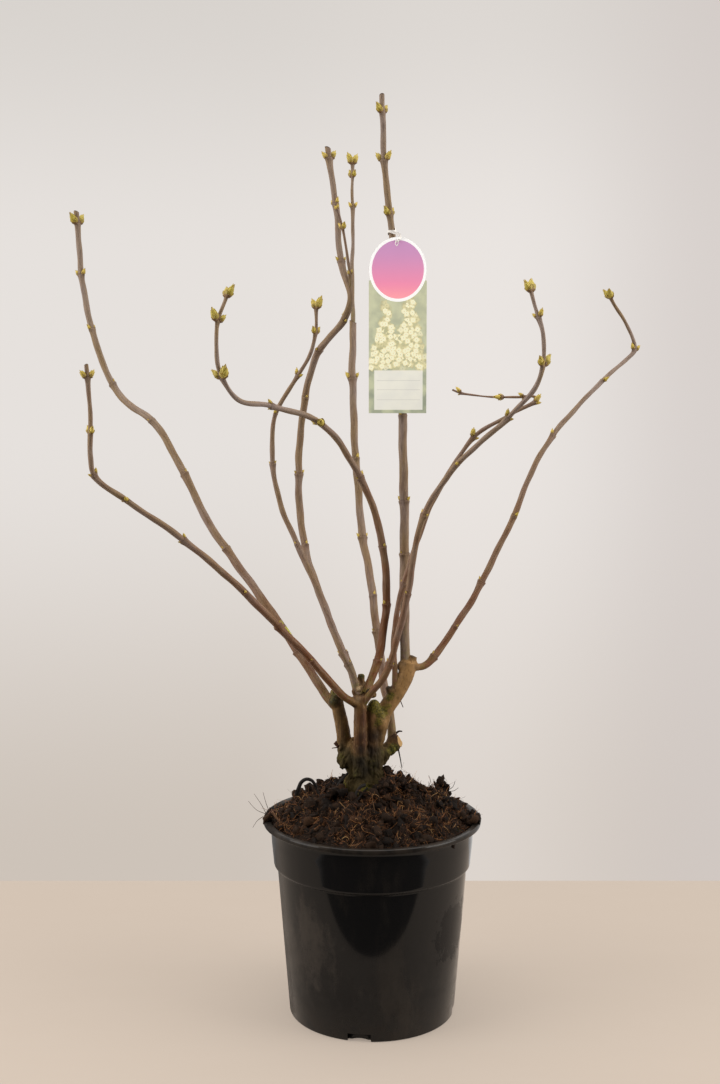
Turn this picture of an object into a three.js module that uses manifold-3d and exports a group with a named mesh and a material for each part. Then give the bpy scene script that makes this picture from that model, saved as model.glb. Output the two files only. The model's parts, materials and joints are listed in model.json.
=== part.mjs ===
// A common lilac grown in a pot and cut back, leafless, with its buds just opening. From bottom to
// top: a nursery pot filled with peaty growing medium, a short swollen trunk with three arms and a
// sawn stub, ten canes that rise from the arms, two side twigs, and a hang tag tied to one cane.
//
// Millimetres, +Z up. The origin is the centre of the pot's flat underside. The tag faces -Y, and
// +X is to the right of someone who looks at the tag. A bearing is an angle from +X towards +Y.

import * as THREE from 'three';
import { mergeVertices } from 'three/addons/utils/BufferGeometryUtils.js';
import Module from 'manifold-3d';

const wasm = await Module();
wasm.setup();

// ---------------------------------------------------------------- driving dimensions

const CLEARANCE = 0.3; // between pieces that touch
const BUD_SHOWS = 6; // a shorter bud is only part of the node's swelling
const FIRST_CANE_SEED = 100;
const FIRST_TWIG_SEED = 300;
const SEED_STEP = 10;

// A ten litre nursery container.
const POT = {
  height: 244.6,
  baseRadius: 102.7,
  waistRadius: 117.2, // top of the straight taper
  waistHeight: 181,
  bandRadius: 121.6, // foot of the stacking band
  bandHeight: 190,
  neckRadius: 124.5, // narrowest place under the lip
  neckHeight: 222,
  lipRadius: 134.4,
  lipDepth: 6,
  wall: 2,
  dishRadius: 72, // flat disc in the middle of the underside
  footWidth: 7.5, // ring at the edge that stands on the ground
  channelHeight: 9, // raised ring between the two
  step: 3, // width of the small slopes and shoulders
  facets: 40,
};
const DRAIN = { count: 4, firstBearing: 261, width: 28, height: 10, depth: 16 };

// The growing medium is heaped up round the trunk.
const SOIL = {
  edgeHeight: 237,
  crownHeight: 276,
  seatRadius: 38, // the level place that the trunk stands on
  // radius and share of the rise from the pot's edge to the crown
  slope: [[116, 0.2], [102, 0.42], [84, 0.64], [66, 0.82], [50, 0.95]],
  lump: 1.6,
  lumpSpacing: [11, 13, 8],
  heap: { x: 45, y: 18, reach: 24, height: 11 }, // to the right of the trunk
};

const TRUNK = {
  foot: [-9, 0, SOIL.crownHeight + CLEARANCE],
  bearing: 180,
  growth: [[12, 0, 0], [12, 0, 0], [28, 9, 0], [17, 4, 0]],
  // distance along the trunk and its radius there: root flare, neck, swollen head
  girths: [[0, 30], [8, 25.5], [20, 22], [32, 25], [43, 28.5], [55, 26], [64, 18], [69, 8]],
  lobes: 5,
  lobeDepth: 0.09,
  lobeFade: 0.6, // by which the lobes are flatter from lobeTop on
  lobeTop: 45,
  sides: 15,
};

// Every limb grows in one upright plane. A growth step is [length, lean from upright towards the
// bearing, length of the larger bud at its end], where no bud is a plain bend. Girths are the
// diameters at foot and tip, twist turns all its buds, and a limb is divided after the growth steps
// that divideAfter lists.
const ARMS = {
  arm_left: {
    foot: [-32.5, 2, 316], bearing: 180, girth: [18.5, 15],
    growth: [[41, 6, 0], [24, 12, 0], [18, 7, 0]],
  },
  arm_centre: {
    foot: [-15, -16, 300], bearing: 0, girth: [16.5, 15],
    growth: [[57, 0, 0], [37, 1, 0], [30, 3, 0]],
  },
  arm_right: {
    foot: [0, 1, 318], bearing: 2, girth: [20.5, 20],
    growth: [[36, 13, 0], [26, 18, 0], [25, 33, 0], [23, 28, 0], [20, 14, 0]],
  },
  arm_stub: {
    foot: [6, 9, 312], bearing: 22, girth: [19, 16.5],
    growth: [[39, 48, 0]],
  },
};
const OLD_STUB = {
  on: 'arm_right', foot: [1, -8, 340], bearing: 0, girth: [12, 9],
  growth: [[30, 2, 0], [22, 4, 0]],
};

const CANES = {
  left_tall: {
    on: 'arm_left', foot: [-46, 4, 384], bearing: 152, girth: [11, 6.8], divideAfter: [8],
    twist: 90,
    growth: [[14, 53, 0], [18, 36, 0], [50, 38, 3], [82, 40, 0], [80, 41, 3], [47, 40, 0],
      [65, 29, 5], [85, 37, 3], [36, 60, 0], [43, 47, 4], [78, 24, 7], [73, 12, 9], [67, 5, 15],
      [15, 4, 0]],
  },
  left_low: {
    on: 'arm_centre', foot: [-17, -17, 389.5], bearing: 204, girth: [9.6, 4.4], divideAfter: [8],
    growth: [[15, 63, 0], [20, 49, 0], [51, 41, 3], [61, 43, 3], [58, 45, 4], [98, 48, 6],
      [80, 55, 8], [47, 50, 6], [20, 11, 0], [26, -1, 8], [61, 2, 10], [14, 5, 0]],
  },
  inner_left_short: {
    on: 'arm_centre', foot: [-16, -19, 402], bearing: 158, girth: [8, 3.8], divideAfter: [6],
    growth: [[22, 20, 0], [17, 26, 3], [88, 24, 0], [71, 26, 3], [58, 24, 0], [45, 12, 3],
      [31, -1, 0], [31, -10, 4], [54, -32, 7], [35, -32, 0], [21, -16, 9], [31, -1, 12]],
  },
  inner_left_tall: {
    on: 'arm_centre', foot: [-18, -10, 402], bearing: 122, girth: [9.8, 7], divideAfter: [8],
    twist: 90,
    growth: [[27, 32, 0], [28, 42, 3], [96, 41, 0], [62, 31, 4], [54, 16, 0], [39, -1, 4],
      [29, 0, 0], [72, -14, 5], [43, -24, 0], [25, -44, 4], [69, -59, 7], [29, -28, 0],
      [48, 24, 5], [70, 11, 8], [58, 15, 10], [13, 13, 0]],
  },
  centre_tall: {
    on: 'arm_stub', foot: [25, 19, 334], bearing: 112, girth: [10.4, 9], divideAfter: [],
    twist: 90,
    growth: [[34, 10, 0], [36, 31, 0], [71, 20, 4], [46, 18, 4], [79, 25, 5], [104, 14, 5],
      [104, 6, 7], [72, -1, 0]],
  },
  front_arch: {
    on: 'arm_centre', foot: [-9, -14, 402], bearing: 222, girth: [10.2, 3.6], divideAfter: [6, 9],
    twist: 90,
    growth: [[22, -32, 0], [21, -26, 3], [70, -12, 4], [72, 5, 5], [93, 23, 5], [90, 44, 13],
      [76, 74, 6], [46, 82, 0], [33, 43, 14], [35, 12, 0], [27, -7, 12], [30, -23, 12]],
  },
  right_front: {
    on: 'arm_centre', foot: [-10, -18, 392], bearing: -35, girth: [8.4, 4], divideAfter: [9],
    twist: 90,
    growth: [[22, 40, 0], [18, 42, 0], [24, 26, 3], [51, 19, 0], [39, 15, 3], [31, 7, 0],
      [66, 16, 5], [75, 36, 5], [84, 51, 8], [47, 45, 0], [26, 20, 12], [32, 0, 0],
      [21, -15, 9], [31, -19, 13]],
  },
  tag_cane: {
    on: 'arm_right', foot: [41, 6, 430], bearing: 190, girth: [11.8, 6.2], divideAfter: [6],
    twist: 45,
    growth: [[49, 2, 0], [92, 0, 4], [64, 1, 5], [104, 1, 5], [102, 3, 5], [80, 4, 0],
      [55, 5, 10], [64, 7, 10], [55, 2, 11], [20, 2, 0]],
  },
  right_inner: {
    on: 'arm_right', foot: [28, -2, 400], bearing: -22, girth: [7.2, 4], divideAfter: [6],
    growth: [[22, -1, 0], [26, -4, 3], [38, 4, 0], [51, 12, 3], [63, 18, 4], [65, 25, 0],
      [71, 34, 9], [48, 59, 6], [38, 63, 11]],
  },
  right_outer: {
    on: 'arm_right', foot: [47, 2, 431], bearing: 28, girth: [8.8, 4], divideAfter: [6],
    twist: 90,
    growth: [[19, 90, 0], [18, 56, 3], [46, 40, 3], [67, 36, 3], [93, 30, 6], [55, 26, 0],
      [62, 34, 5], [103, 48, 7], [49, 54, 0], [17, 43, 9], [17, -13, 0], [62, -36, 12]],
  },
};

// Thin shoots that start where an older piece of wood was cut or carried a bud.
const TWIGS = {
  centre_tall_shoot: {
    on: 'centre_tall_bough', from: 'centre_tall', joint: 8, before: 4,
    bearing: 112, girth: [5.6, 3.4], twist: 90,
    growth: [[100, 1, 0], [50, -1, 7], [38, 0, 9], [18, 0, 13]],
  },
  inner_left_spur: {
    on: 'inner_left_tall_shoot', from: 'inner_left_tall', joint: 12, before: 0,
    bearing: 225, girth: [3.6, 2.6],
    growth: [[27, -1, 5], [19, 12, 0], [16, 15, 0], [19, 15, 7], [24, 21, 6]],
  },
  right_inner_twig: {
    on: 'right_inner_shoot', from: 'right_inner', joint: 9, before: 5,
    bearing: 158, girth: [2.8, 2],
    growth: [[9, -46, 0], [9, 75, 0], [8, 99, 5], [25, 89, 9], [52, 85, 6], [10, 69, 0]],
  },
};

const BARK = {
  nodeSwell: 0.24, // share by which a node stands out
  nodeReach: 7, // to either side of the node
  collar: 0.22, // share by which a foot flares
  collarReach: 14,
  taperPower: 1.5,
  armSides: 10,
  boughSides: 8,
  shootSides: 6,
  finestTurn: 12, // degrees between two rings
  longestRing: 42,
  shortestRing: 3,
};
// Widths, heights and shifts of a bud are shares of its length.
const BUD = {
  width: 0.46,
  outline: [[0, 0], [0.62, 0.02], [1, 0.36], [0.66, 0.72], [0, 1]],
  lean: 36, // from the shoot
  tipLean: 24,
  sunk: 0.55, // share of the bark's radius at which its foot is
  tipSunk: 0.3,
  tipDrop: 0.12,
  underside: 0.5, // by which a bud that faces down is smaller
  wander: 24, // degrees over which a pair strays from its quarter turn
  variety: 0.3,
  facets: 5,
};

const TAG = {
  width: 69,
  headStart: 14, // degrees below its middle at which the head meets the shoulders
  headWidth: 68.6,
  headHeight: 76,
  headCentre: [30, 911.5], // x and z
  bodyDrop: 170, // from the head's centre to the lower edge
  shoulder: 13,
  thickness: 0.6,
  front: -4, // y of its front face
  slot: { x: -1.4, z: 31.5, width: 3.4, height: 7 },
};
const TIE = { height: 956.6, band: 5, thickness: 0.8, tongue: 1.2, facets: 20, steps: 12 };

// ---------------------------------------------------------------- colours

const WOOD = '#8a6650';
const SHOOT = '#8b7462';
const MOSSY_WOOD = '#5c4c2b';
const POT_PLASTIC = '#1c1d1f';
const PEAT = '#38291f';
const CARD = '#cfc9a6';
const RIBBON = '#efeee8';

// ---------------------------------------------------------------- small helpers

const radians = THREE.MathUtils.degToRad;
const lerp = THREE.MathUtils.lerp;
const clamp = THREE.MathUtils.clamp;
const UP = new THREE.Vector3(0, 0, 1);

// A repeatable stream of numbers from 0 to 1.
function seededRandom(seed) {
  let state = seed;
  return () => {
    state = (state * 1664525 + 1013904223) % 4294967296;
    return state / 4294967296;
  };
}

// The value at a place in a list of [place, value] pairs, straight between them.
function valueAt(table, place) {
  const next = table.findIndex(([at]) => at >= place);
  if (next === 0) return table[0][1];
  if (next < 0) return table[table.length - 1][1];
  const [fromPlace, fromValue] = table[next - 1];
  const [toPlace, toValue] = table[next];
  return lerp(fromValue, toValue, (place - fromPlace) / (toPlace - fromPlace));
}

// A closed geometry becomes a solid once its shared corners are merged and the slivers that a
// lathe leaves on its axis are dropped.
function solidOf(geometry) {
  geometry.deleteAttribute('normal');
  geometry.deleteAttribute('uv');
  const merged = mergeVertices(geometry, 1e-3);
  const corners = merged.index.array;
  const kept = [];
  for (let i = 0; i < corners.length; i += 3) {
    const [a, b, c] = [corners[i], corners[i + 1], corners[i + 2]];
    if (a !== b && b !== c && c !== a) kept.push(a, b, c);
  }
  return new wasm.Manifold(new wasm.Mesh({
    numProp: 3,
    vertProperties: merged.attributes.position.array,
    triVerts: new Uint32Array(kept),
  }));
}

function geometryOf(solid) {
  const mesh = solid.getMesh();
  const geometry = new THREE.BufferGeometry();
  geometry.setAttribute('position', new THREE.BufferAttribute(mesh.vertProperties.slice(), 3));
  geometry.setIndex(new THREE.BufferAttribute(mesh.triVerts.slice(), 1));
  geometry.computeVertexNormals();
  return geometry;
}

// Cutting can leave crumbs of a limb's foot inside the piece that carries it.
function largestPart(solid) {
  const parts = solid.decompose();
  return parts.reduce((best, part) => (part.volume() > best.volume() ? part : best));
}

const lilac = new THREE.Group();
const solids = {};

function addPiece(name, solid, colour, roughness) {
  const material = new THREE.MeshStandardMaterial({ color: colour, roughness, metalness: 0 });
  const mesh = new THREE.Mesh(geometryOf(solid), material);
  mesh.name = name;
  lilac.add(mesh);
  solids[name] = solid;
}

// ---------------------------------------------------------------- routes of limbs

// The middle line of a limb: straight growth steps rounded into one curve.
class Route {
  constructor({ foot, bearing, growth }) {
    const heading = new THREE.Vector3(Math.cos(radians(bearing)), Math.sin(radians(bearing)), 0);
    this.across = new THREE.Vector3(-heading.y, heading.x, 0);
    const joints = [new THREE.Vector3(...foot)];
    for (const [length, lean] of growth) {
      const step = heading.clone().multiplyScalar(length * Math.sin(radians(lean)));
      step.addScaledVector(UP, length * Math.cos(radians(lean)));
      joints.push(joints[joints.length - 1].clone().add(step));
    }
    this.curve = new THREE.CatmullRomCurve3(joints, false, 'centripetal');
    const perStep = 40;
    this.curve.arcLengthDivisions = perStep * growth.length;
    const lengths = this.curve.getLengths();
    this.length = lengths[lengths.length - 1];
    this.joints = growth.map(([, , bud], i) => ({ bud, at: lengths[perStep * (i + 1)] }));
  }

  // Where the middle line is at a distance along it, which way it runs, and its upper side. It
  // runs on straight past both of its ends.
  frameAt(distance) {
    const inside = clamp(distance, 0, this.length);
    const point = this.curve.getPointAt(inside / this.length);
    const along = this.curve.getTangentAt(inside / this.length);
    point.addScaledVector(along, distance - inside);
    const beside = this.across.clone().cross(along).normalize();
    return { point, along, beside };
  }

  // Distances at which a limb gets a ring: at its ends, about each node, and in between as often
  // as the bends ask for.
  stations(from, to) {
    const wanted = [];
    for (const { bud, at } of this.joints) {
      if (bud) wanted.push(at - BARK.nodeReach, at, at + BARK.nodeReach);
    }
    if (from < BARK.collarReach) wanted.push(BARK.collarReach);
    const inner = (at) => at > from + BARK.shortestRing && at < to - BARK.shortestRing;
    const fixed = wanted.filter(inner).sort((a, b) => a - b);
    const placed = [from];
    for (const goal of [...fixed, to]) {
      let last = this.frameAt(placed[placed.length - 1]).along;
      for (let at = placed[placed.length - 1] + 2; at < goal - 4; at += 2) {
        const { along } = this.frameAt(at);
        const turned = THREE.MathUtils.radToDeg(last.angleTo(along));
        const gone = at - placed[placed.length - 1];
        if (turned > BARK.finestTurn || gone > BARK.longestRing) {
          placed.push(at);
          last = along;
        }
      }
      const room = goal - placed[placed.length - 1];
      if (room > BARK.shortestRing / 2 || goal === to) placed.push(goal);
    }
    return placed;
  }
}

// A cylinder bent along a route. The radius may change with the distance and the angle round it.
function bentColumn(route, stations, sides, radiusAt) {
  const column = new THREE.CylinderGeometry(1, 1, 1, sides, stations.length - 1);
  const position = column.attributes.position;
  for (let i = 0; i < position.count; i += 1) {
    const ring = Math.round((position.getY(i) + 0.5) * (stations.length - 1));
    const distance = stations[ring];
    const { point, along, beside } = route.frameAt(distance);
    const radius = radiusAt(distance, Math.atan2(position.getZ(i), position.getX(i)));
    const third = along.clone().cross(beside);
    point.addScaledVector(beside, radius * position.getX(i));
    point.addScaledVector(third, -radius * position.getZ(i));
    position.setXYZ(i, point.x, point.y, point.z);
  }
  return solidOf(column);
}

// The radius of a limb: an even taper, a collar at the foot and a swelling at each node.
function barkRadius(limb, route, distance) {
  const [footGirth, tipGirth] = limb.girth;
  const share = clamp(distance / route.length, 0, 1);
  const taper = lerp(footGirth, tipGirth, share ** BARK.taperPower) / 2;
  let swell = BARK.collar * Math.max(0, 1 - distance / BARK.collarReach);
  for (const { bud, at } of route.joints) {
    const nearness = Math.max(0, 1 - Math.abs(distance - at) / BARK.nodeReach);
    if (bud) swell = Math.max(swell, BARK.nodeSwell * nearness);
  }
  return taper * (1 + swell);
}

// One stretch of a limb, or with some clearance the space that its neighbours leave to it.
function stretchOf(limb, route, from, to, sides, clearance = 0) {
  const stations = route.stations(from, to);
  stations[0] -= clearance;
  stations[stations.length - 1] += clearance;
  return bentColumn(route, stations, sides, (at) => barkRadius(limb, route, at) + clearance);
}

// ---------------------------------------------------------------- buds

// A bud is a small spindle, pointed at its tip, whose foot is sunk into the bark.
function budSolid(foot, direction, length) {
  const half = (length * BUD.width) / 2;
  const points = BUD.outline.map(([out, up]) => new THREE.Vector2(out * half, up * length));
  const bud = new THREE.LatheGeometry(points, BUD.facets);
  bud.applyQuaternion(new THREE.Quaternion().setFromUnitVectors(new THREE.Vector3(0, 1, 0), direction));
  bud.translate(foot.x, foot.y, foot.z);
  return solidOf(bud);
}

// Lilac buds sit in opposite pairs, each pair about a quarter turn from the one above it. The list
// runs from the tip down.
function budPairs(limb, route, seed) {
  const random = seededRandom(seed);
  return route.joints.filter(({ bud }) => bud).reverse().map(({ bud, at }, order) => {
    const wander = (random() - 0.5) * BUD.wander;
    const sizes = [0, 1].map(() => 1 + (random() - 0.5) * BUD.variety);
    return { bud, at, sizes, turn: radians((limb.twist ?? 0) + 90 * order + wander) };
  });
}

// The bud on the underside of a leaning shoot is smaller, and a shoot that was not cut ends in a
// pair.
function budsOf(limb, route, pair) {
  const { bud, at, sizes, turn } = pair;
  const atTip = at === route.length;
  const { point, along, beside } = route.frameAt(at);
  const lean = radians(atTip ? BUD.tipLean : BUD.lean);
  const sunk = barkRadius(limb, route, at) * (atTip ? BUD.tipSunk : BUD.sunk);
  return [0, Math.PI].map((half, i) => {
    const outward = beside.clone().applyAxisAngle(along, turn + half);
    const direction = along.clone().multiplyScalar(Math.cos(lean));
    direction.addScaledVector(outward, Math.sin(lean));
    const shrink = 1 - BUD.underside * Math.max(0, -outward.z);
    const foot = point.clone().addScaledVector(outward, sunk);
    if (atTip) foot.addScaledVector(along, -BUD.tipDrop * bud);
    return budSolid(foot, direction, bud * sizes[i] * shrink);
  });
}

// ---------------------------------------------------------------- trunk and arms

function trunkSolid(clearance = 0) {
  const route = new Route(TRUNK);
  const stations = TRUNK.girths.map(([at]) => Math.min(at, route.length));
  stations[stations.length - 1] += clearance;
  const lobed = (at, angle) => {
    const fade = 1 - clamp(at / TRUNK.lobeTop, 0, 1) * TRUNK.lobeFade;
    const lobes = 1 + TRUNK.lobeDepth * fade * Math.cos(TRUNK.lobes * angle + at / 30);
    return valueAt(TRUNK.girths, at) * lobes + clearance;
  };
  return bentColumn(route, stations, TRUNK.sides, lobed);
}

function armSolid(name, clearance = 0) {
  const arm = ARMS[name];
  const route = new Route(arm);
  const solid = stretchOf(arm, route, 0, route.length, BARK.armSides, clearance);
  if (name !== OLD_STUB.on) return solid;
  const stub = new Route(OLD_STUB);
  return solid.add(stretchOf(OLD_STUB, stub, 0, stub.length, BARK.boughSides, clearance));
}

addPiece('trunk', trunkSolid(), MOSSY_WOOD, 0.9);
const carriers = {};
const trunkSpace = trunkSolid(CLEARANCE);
const armSpaces = [];
for (const name of Object.keys(ARMS)) {
  let solid = armSolid(name).subtract(trunkSpace);
  for (const space of armSpaces) solid = solid.subtract(space);
  addPiece(name, largestPart(solid), WOOD, 0.85);
  carriers[name] = armSolid(name, CLEARANCE);
  armSpaces.push(carriers[name]);
}

// ---------------------------------------------------------------- canes and twigs

// A limb is divided into boughs of plain wood and, above them, the shoot that carries the buds.
// Neighbours that leave the same arm are cut clear of each other at their feet.
const siblings = {};
function growLimb(limb, route, stretchNames, seed) {
  const pairs = budPairs(limb, route, seed).filter(({ bud }) => bud >= BUD_SHOWS);
  const cuts = (limb.divideAfter ?? []).map((step) => route.joints[step - 1].at + BARK.nodeReach);
  const ends = [...cuts, route.length];
  let from = 0;
  ends.forEach((end, i) => {
    const last = i === ends.length - 1;
    const to = last ? end : end - CLEARANCE / 2;
    const isBough = stretchNames[i].endsWith('bough');
    const sides = isBough ? BARK.boughSides : BARK.shootSides;
    let solid = stretchOf(limb, route, from, to, sides);
    for (const pair of pairs.filter(({ at }) => at > from && at <= to)) {
      for (const bud of budsOf(limb, route, pair)) solid = solid.add(bud);
    }
    if (i === 0) {
      const family = siblings[limb.on] ?? [];
      solid = solid.subtract(carriers[limb.on]);
      for (const space of family) solid = solid.subtract(space);
      solid = largestPart(solid);
      siblings[limb.on] = [...family, stretchOf(limb, route, from, to, sides, CLEARANCE)];
    }
    addPiece(stretchNames[i], solid, isBough ? WOOD : SHOOT, 0.8);
    carriers[stretchNames[i]] = stretchOf(limb, route, from, to, sides, CLEARANCE);
    from = end + CLEARANCE / 2;
  });
}

function stretchNamesOf(name, limb) {
  const boughs = limb.divideAfter.length;
  if (boughs === 0) return [`${name}_bough`];
  if (boughs === 1) return [`${name}_bough`, `${name}_shoot`];
  return [`${name}_lower_bough`, `${name}_upper_bough`, `${name}_shoot`];
}

const routes = {};
Object.entries(CANES).forEach(([name, cane], i) => {
  routes[name] = new Route(cane);
  growLimb(cane, routes[name], stretchNamesOf(name, cane), FIRST_CANE_SEED + i * SEED_STEP);
});

Object.entries(TWIGS).forEach(([name, twig], i) => {
  const parent = routes[twig.from];
  const foot = parent.frameAt(parent.joints[twig.joint - 1].at - twig.before).point.toArray();
  const route = new Route({ ...twig, foot });
  growLimb(twig, route, [name], FIRST_TWIG_SEED + i * SEED_STEP);
});

// ---------------------------------------------------------------- pot

// Turned outlines stand on the XY plane.
function turned(points, facets) {
  const lathe = new THREE.LatheGeometry(points.map(([r, z]) => new THREE.Vector2(r, z)), facets);
  lathe.rotateX(Math.PI / 2);
  return solidOf(lathe);
}

// The outside of the pot from its waist up, as [radius, height].
function upperOutline() {
  const { waistRadius, waistHeight, bandRadius, bandHeight, neckRadius, neckHeight } = POT;
  return [
    [waistRadius, waistHeight],
    [bandRadius - POT.step / 2, bandHeight - POT.step],
    [bandRadius, bandHeight],
    [neckRadius - POT.step / 6, bandHeight + 8 * POT.step],
    [neckRadius, neckHeight],
  ];
}

function innerRadiusAt(height) {
  const outline = [[0, POT.baseRadius], ...upperOutline().map(([r, z]) => [z, r])];
  return valueAt(outline, height) - POT.wall;
}

function potSolid() {
  const { height, wall, baseRadius, dishRadius, footWidth, channelHeight, step } = POT;
  const { neckRadius, lipRadius } = POT;
  const ringInner = baseRadius - footWidth;
  const lipUnder = height - POT.lipDepth;
  const outside = [
    [0, 0], [dishRadius, 0], [dishRadius + step, channelHeight], [ringInner - step, channelHeight],
    [ringInner, 0], [baseRadius, 0],
    ...upperOutline(),
    [neckRadius + wall, lipUnder - wall], [lipRadius - wall / 2, lipUnder],
    [lipRadius, lipUnder + wall], [lipRadius, height - wall / 2], [lipRadius - wall, height],
  ];
  const inside = [
    [neckRadius + wall, height], [neckRadius, height - wall],
    ...upperOutline().reverse().map(([r, z]) => [r - wall, z]),
    [baseRadius - wall, wall], [ringInner, wall],
    [ringInner - step, channelHeight + wall], [dishRadius + step, channelHeight + wall],
    [dishRadius, wall], [0, wall],
  ];
  let pot = turned([...outside, ...inside], POT.facets);
  for (let i = 0; i < DRAIN.count; i += 1) {
    const notch = new THREE.BoxGeometry(DRAIN.depth, DRAIN.width, DRAIN.height * 2);
    notch.translate(baseRadius, 0, 0);
    notch.rotateZ(radians(DRAIN.firstBearing + (360 / DRAIN.count) * i));
    pot = pot.subtract(solidOf(notch));
  }
  return pot;
}

// ---------------------------------------------------------------- growing medium

function soilSolid() {
  const { edgeHeight, crownHeight, seatRadius, slope, heap } = SOIL;
  const floor = POT.channelHeight + POT.wall + CLEARANCE;
  const walls = [floor, POT.waistHeight, POT.bandHeight, edgeHeight]
    .map((z) => [innerRadiusAt(z) - 2 * CLEARANCE, z]);
  const rise = crownHeight - edgeHeight;
  const mound = [...slope, [seatRadius, 1], [0, 1]]
    .map(([radius, share]) => [radius, edgeHeight + rise * share]);
  const lathe = new THREE.LatheGeometry(
    [[0, floor], ...walls, ...mound].map(([r, z]) => new THREE.Vector2(r, z)), POT.facets);
  lathe.rotateX(Math.PI / 2);
  const position = lathe.attributes.position;
  const [alongX, alongY, across] = SOIL.lumpSpacing;
  for (let i = 0; i < position.count; i += 1) {
    const x = position.getX(i);
    const y = position.getY(i);
    const onMound = position.getZ(i) > edgeHeight + 1 && Math.hypot(x, y) > seatRadius + 1;
    if (!onMound) continue;
    const lumps = Math.sin(x / alongX + 1) + Math.sin(y / alongY - x / 29) + Math.sin((x + y) / across);
    const away = Math.hypot(x - heap.x, y - heap.y) / heap.reach;
    const heaped = heap.height * Math.exp(-away * away / 2);
    position.setZ(i, position.getZ(i) + SOIL.lump * lumps + heaped);
  }
  return solidOf(lathe);
}

addPiece('pot', potSolid(), POT_PLASTIC, 0.42);
addPiece('soil', soilSolid(), PEAT, 1);

// ---------------------------------------------------------------- hang tag and its tie

// The card: an upright panel whose oval head stands over it, with a slot for the tie.
function tagSolid() {
  const half = TAG.width / 2;
  const start = -radians(TAG.headStart);
  const outline = new THREE.Shape();
  outline.moveTo(-half, -TAG.bodyDrop);
  outline.lineTo(half, -TAG.bodyDrop);
  outline.lineTo(half, -TAG.shoulder);
  outline.absellipse(0, 0, TAG.headWidth / 2, TAG.headHeight / 2, start, Math.PI - start, false, 0);
  outline.lineTo(-half, -TAG.shoulder);
  outline.closePath();
  const { x, z, width, height } = TAG.slot;
  const slot = new THREE.Path();
  slot.absellipse(x, z, width / 2, height / 2, 0, Math.PI * 2, true, 0);
  outline.holes.push(slot);
  const card = new THREE.ExtrudeGeometry(outline, {
    depth: TAG.thickness, bevelEnabled: false, curveSegments: 16,
  });
  card.rotateX(Math.PI / 2);
  card.translate(TAG.headCentre[0], TAG.front + TAG.thickness, TAG.headCentre[1]);
  return solidOf(card);
}

// The tie: a paper ribbon round the cane, with a tongue that goes down and through the slot.
function tieSolid() {
  const cane = routes.tag_cane;
  let distance = cane.length;
  while (cane.frameAt(distance).point.z > TIE.height) distance -= 1;
  const { point, along } = cane.frameAt(distance);
  const inner = barkRadius(CANES.tag_cane, cane, distance) + 2 * CLEARANCE;
  const outer = inner + TIE.thickness;
  const section = [[inner, -0.5], [outer, -0.5], [outer, 0.5], [inner, 0.5], [inner, -0.5]];
  const points = section.map(([r, share]) => new THREE.Vector2(r, share * TIE.band));
  const band = new THREE.LatheGeometry(points, TIE.facets);
  band.applyQuaternion(new THREE.Quaternion().setFromUnitVectors(new THREE.Vector3(0, 1, 0), along));
  band.translate(point.x, point.y, point.z);

  const slotX = TAG.headCentre[0] + TAG.slot.x;
  const slotZ = TAG.headCentre[1] + TAG.slot.z;
  const before = TAG.front - TIE.tongue / 2 - CLEARANCE;
  const ring = (inner + outer) / 2;
  const path = new THREE.CatmullRomCurve3([
    new THREE.Vector3(point.x + 1.6, point.y - ring + 0.2, point.z),
    new THREE.Vector3(point.x + 3, before, point.z - 5.5),
    new THREE.Vector3(slotX, before, slotZ + 3),
    new THREE.Vector3(slotX, TAG.front + TAG.thickness / 2, slotZ + 0.6),
    new THREE.Vector3(slotX, TAG.front + TAG.thickness + 0.5, slotZ),
  ]);
  const half = TIE.tongue / 2;
  const corners = [[-half, -half], [half, -half], [half, half], [-half, half]];
  const ribbon = new THREE.Shape(corners.map(([x, y]) => new THREE.Vector2(x, y)));
  const tongue = new THREE.ExtrudeGeometry(ribbon, { steps: TIE.steps, extrudePath: path });
  return solidOf(band).add(solidOf(tongue));
}

addPiece('hang_tag', tagSolid(), CARD, 0.5);
addPiece('tag_tie', tieSolid(), RIBBON, 0.8);

export default lilac;
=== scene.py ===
# %% [markdown]
# # A potted lilac at bud break
# A common lilac that was cut back and grown on in a ten litre nursery pot. It has no leaves yet:
# ten canes rise from a short mossy stool, and their opposite buds are just opening. This lesson
# dresses the measured solids. Every bend, girth and bud follows the growth rule of the solids, and
# the finer things are grown on from it: bark, bud scales, moss, crumbs and fibres.

import json
import math

import bmesh
import bpy
import numpy as np
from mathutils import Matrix, Vector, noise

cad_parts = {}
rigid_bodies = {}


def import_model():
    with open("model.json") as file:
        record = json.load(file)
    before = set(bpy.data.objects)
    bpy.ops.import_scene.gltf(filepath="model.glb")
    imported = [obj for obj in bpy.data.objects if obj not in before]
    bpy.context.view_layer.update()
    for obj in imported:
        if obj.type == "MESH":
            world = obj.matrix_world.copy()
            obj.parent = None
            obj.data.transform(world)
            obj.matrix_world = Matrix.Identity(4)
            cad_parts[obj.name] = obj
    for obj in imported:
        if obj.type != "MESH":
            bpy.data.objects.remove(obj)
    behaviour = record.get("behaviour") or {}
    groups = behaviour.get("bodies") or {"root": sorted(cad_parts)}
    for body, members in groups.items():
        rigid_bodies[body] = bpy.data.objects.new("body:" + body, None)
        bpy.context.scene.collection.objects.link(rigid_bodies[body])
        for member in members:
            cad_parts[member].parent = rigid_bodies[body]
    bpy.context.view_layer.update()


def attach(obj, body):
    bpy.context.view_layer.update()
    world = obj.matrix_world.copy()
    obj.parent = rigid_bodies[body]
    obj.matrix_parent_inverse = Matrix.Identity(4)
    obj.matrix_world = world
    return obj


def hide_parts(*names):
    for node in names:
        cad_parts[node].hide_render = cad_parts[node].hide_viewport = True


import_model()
scene = bpy.context.scene
MM = 0.001  # the sizes below are in millimetres, and Blender works in metres
ON = "root"  # the plant and its pot are one body

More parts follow.
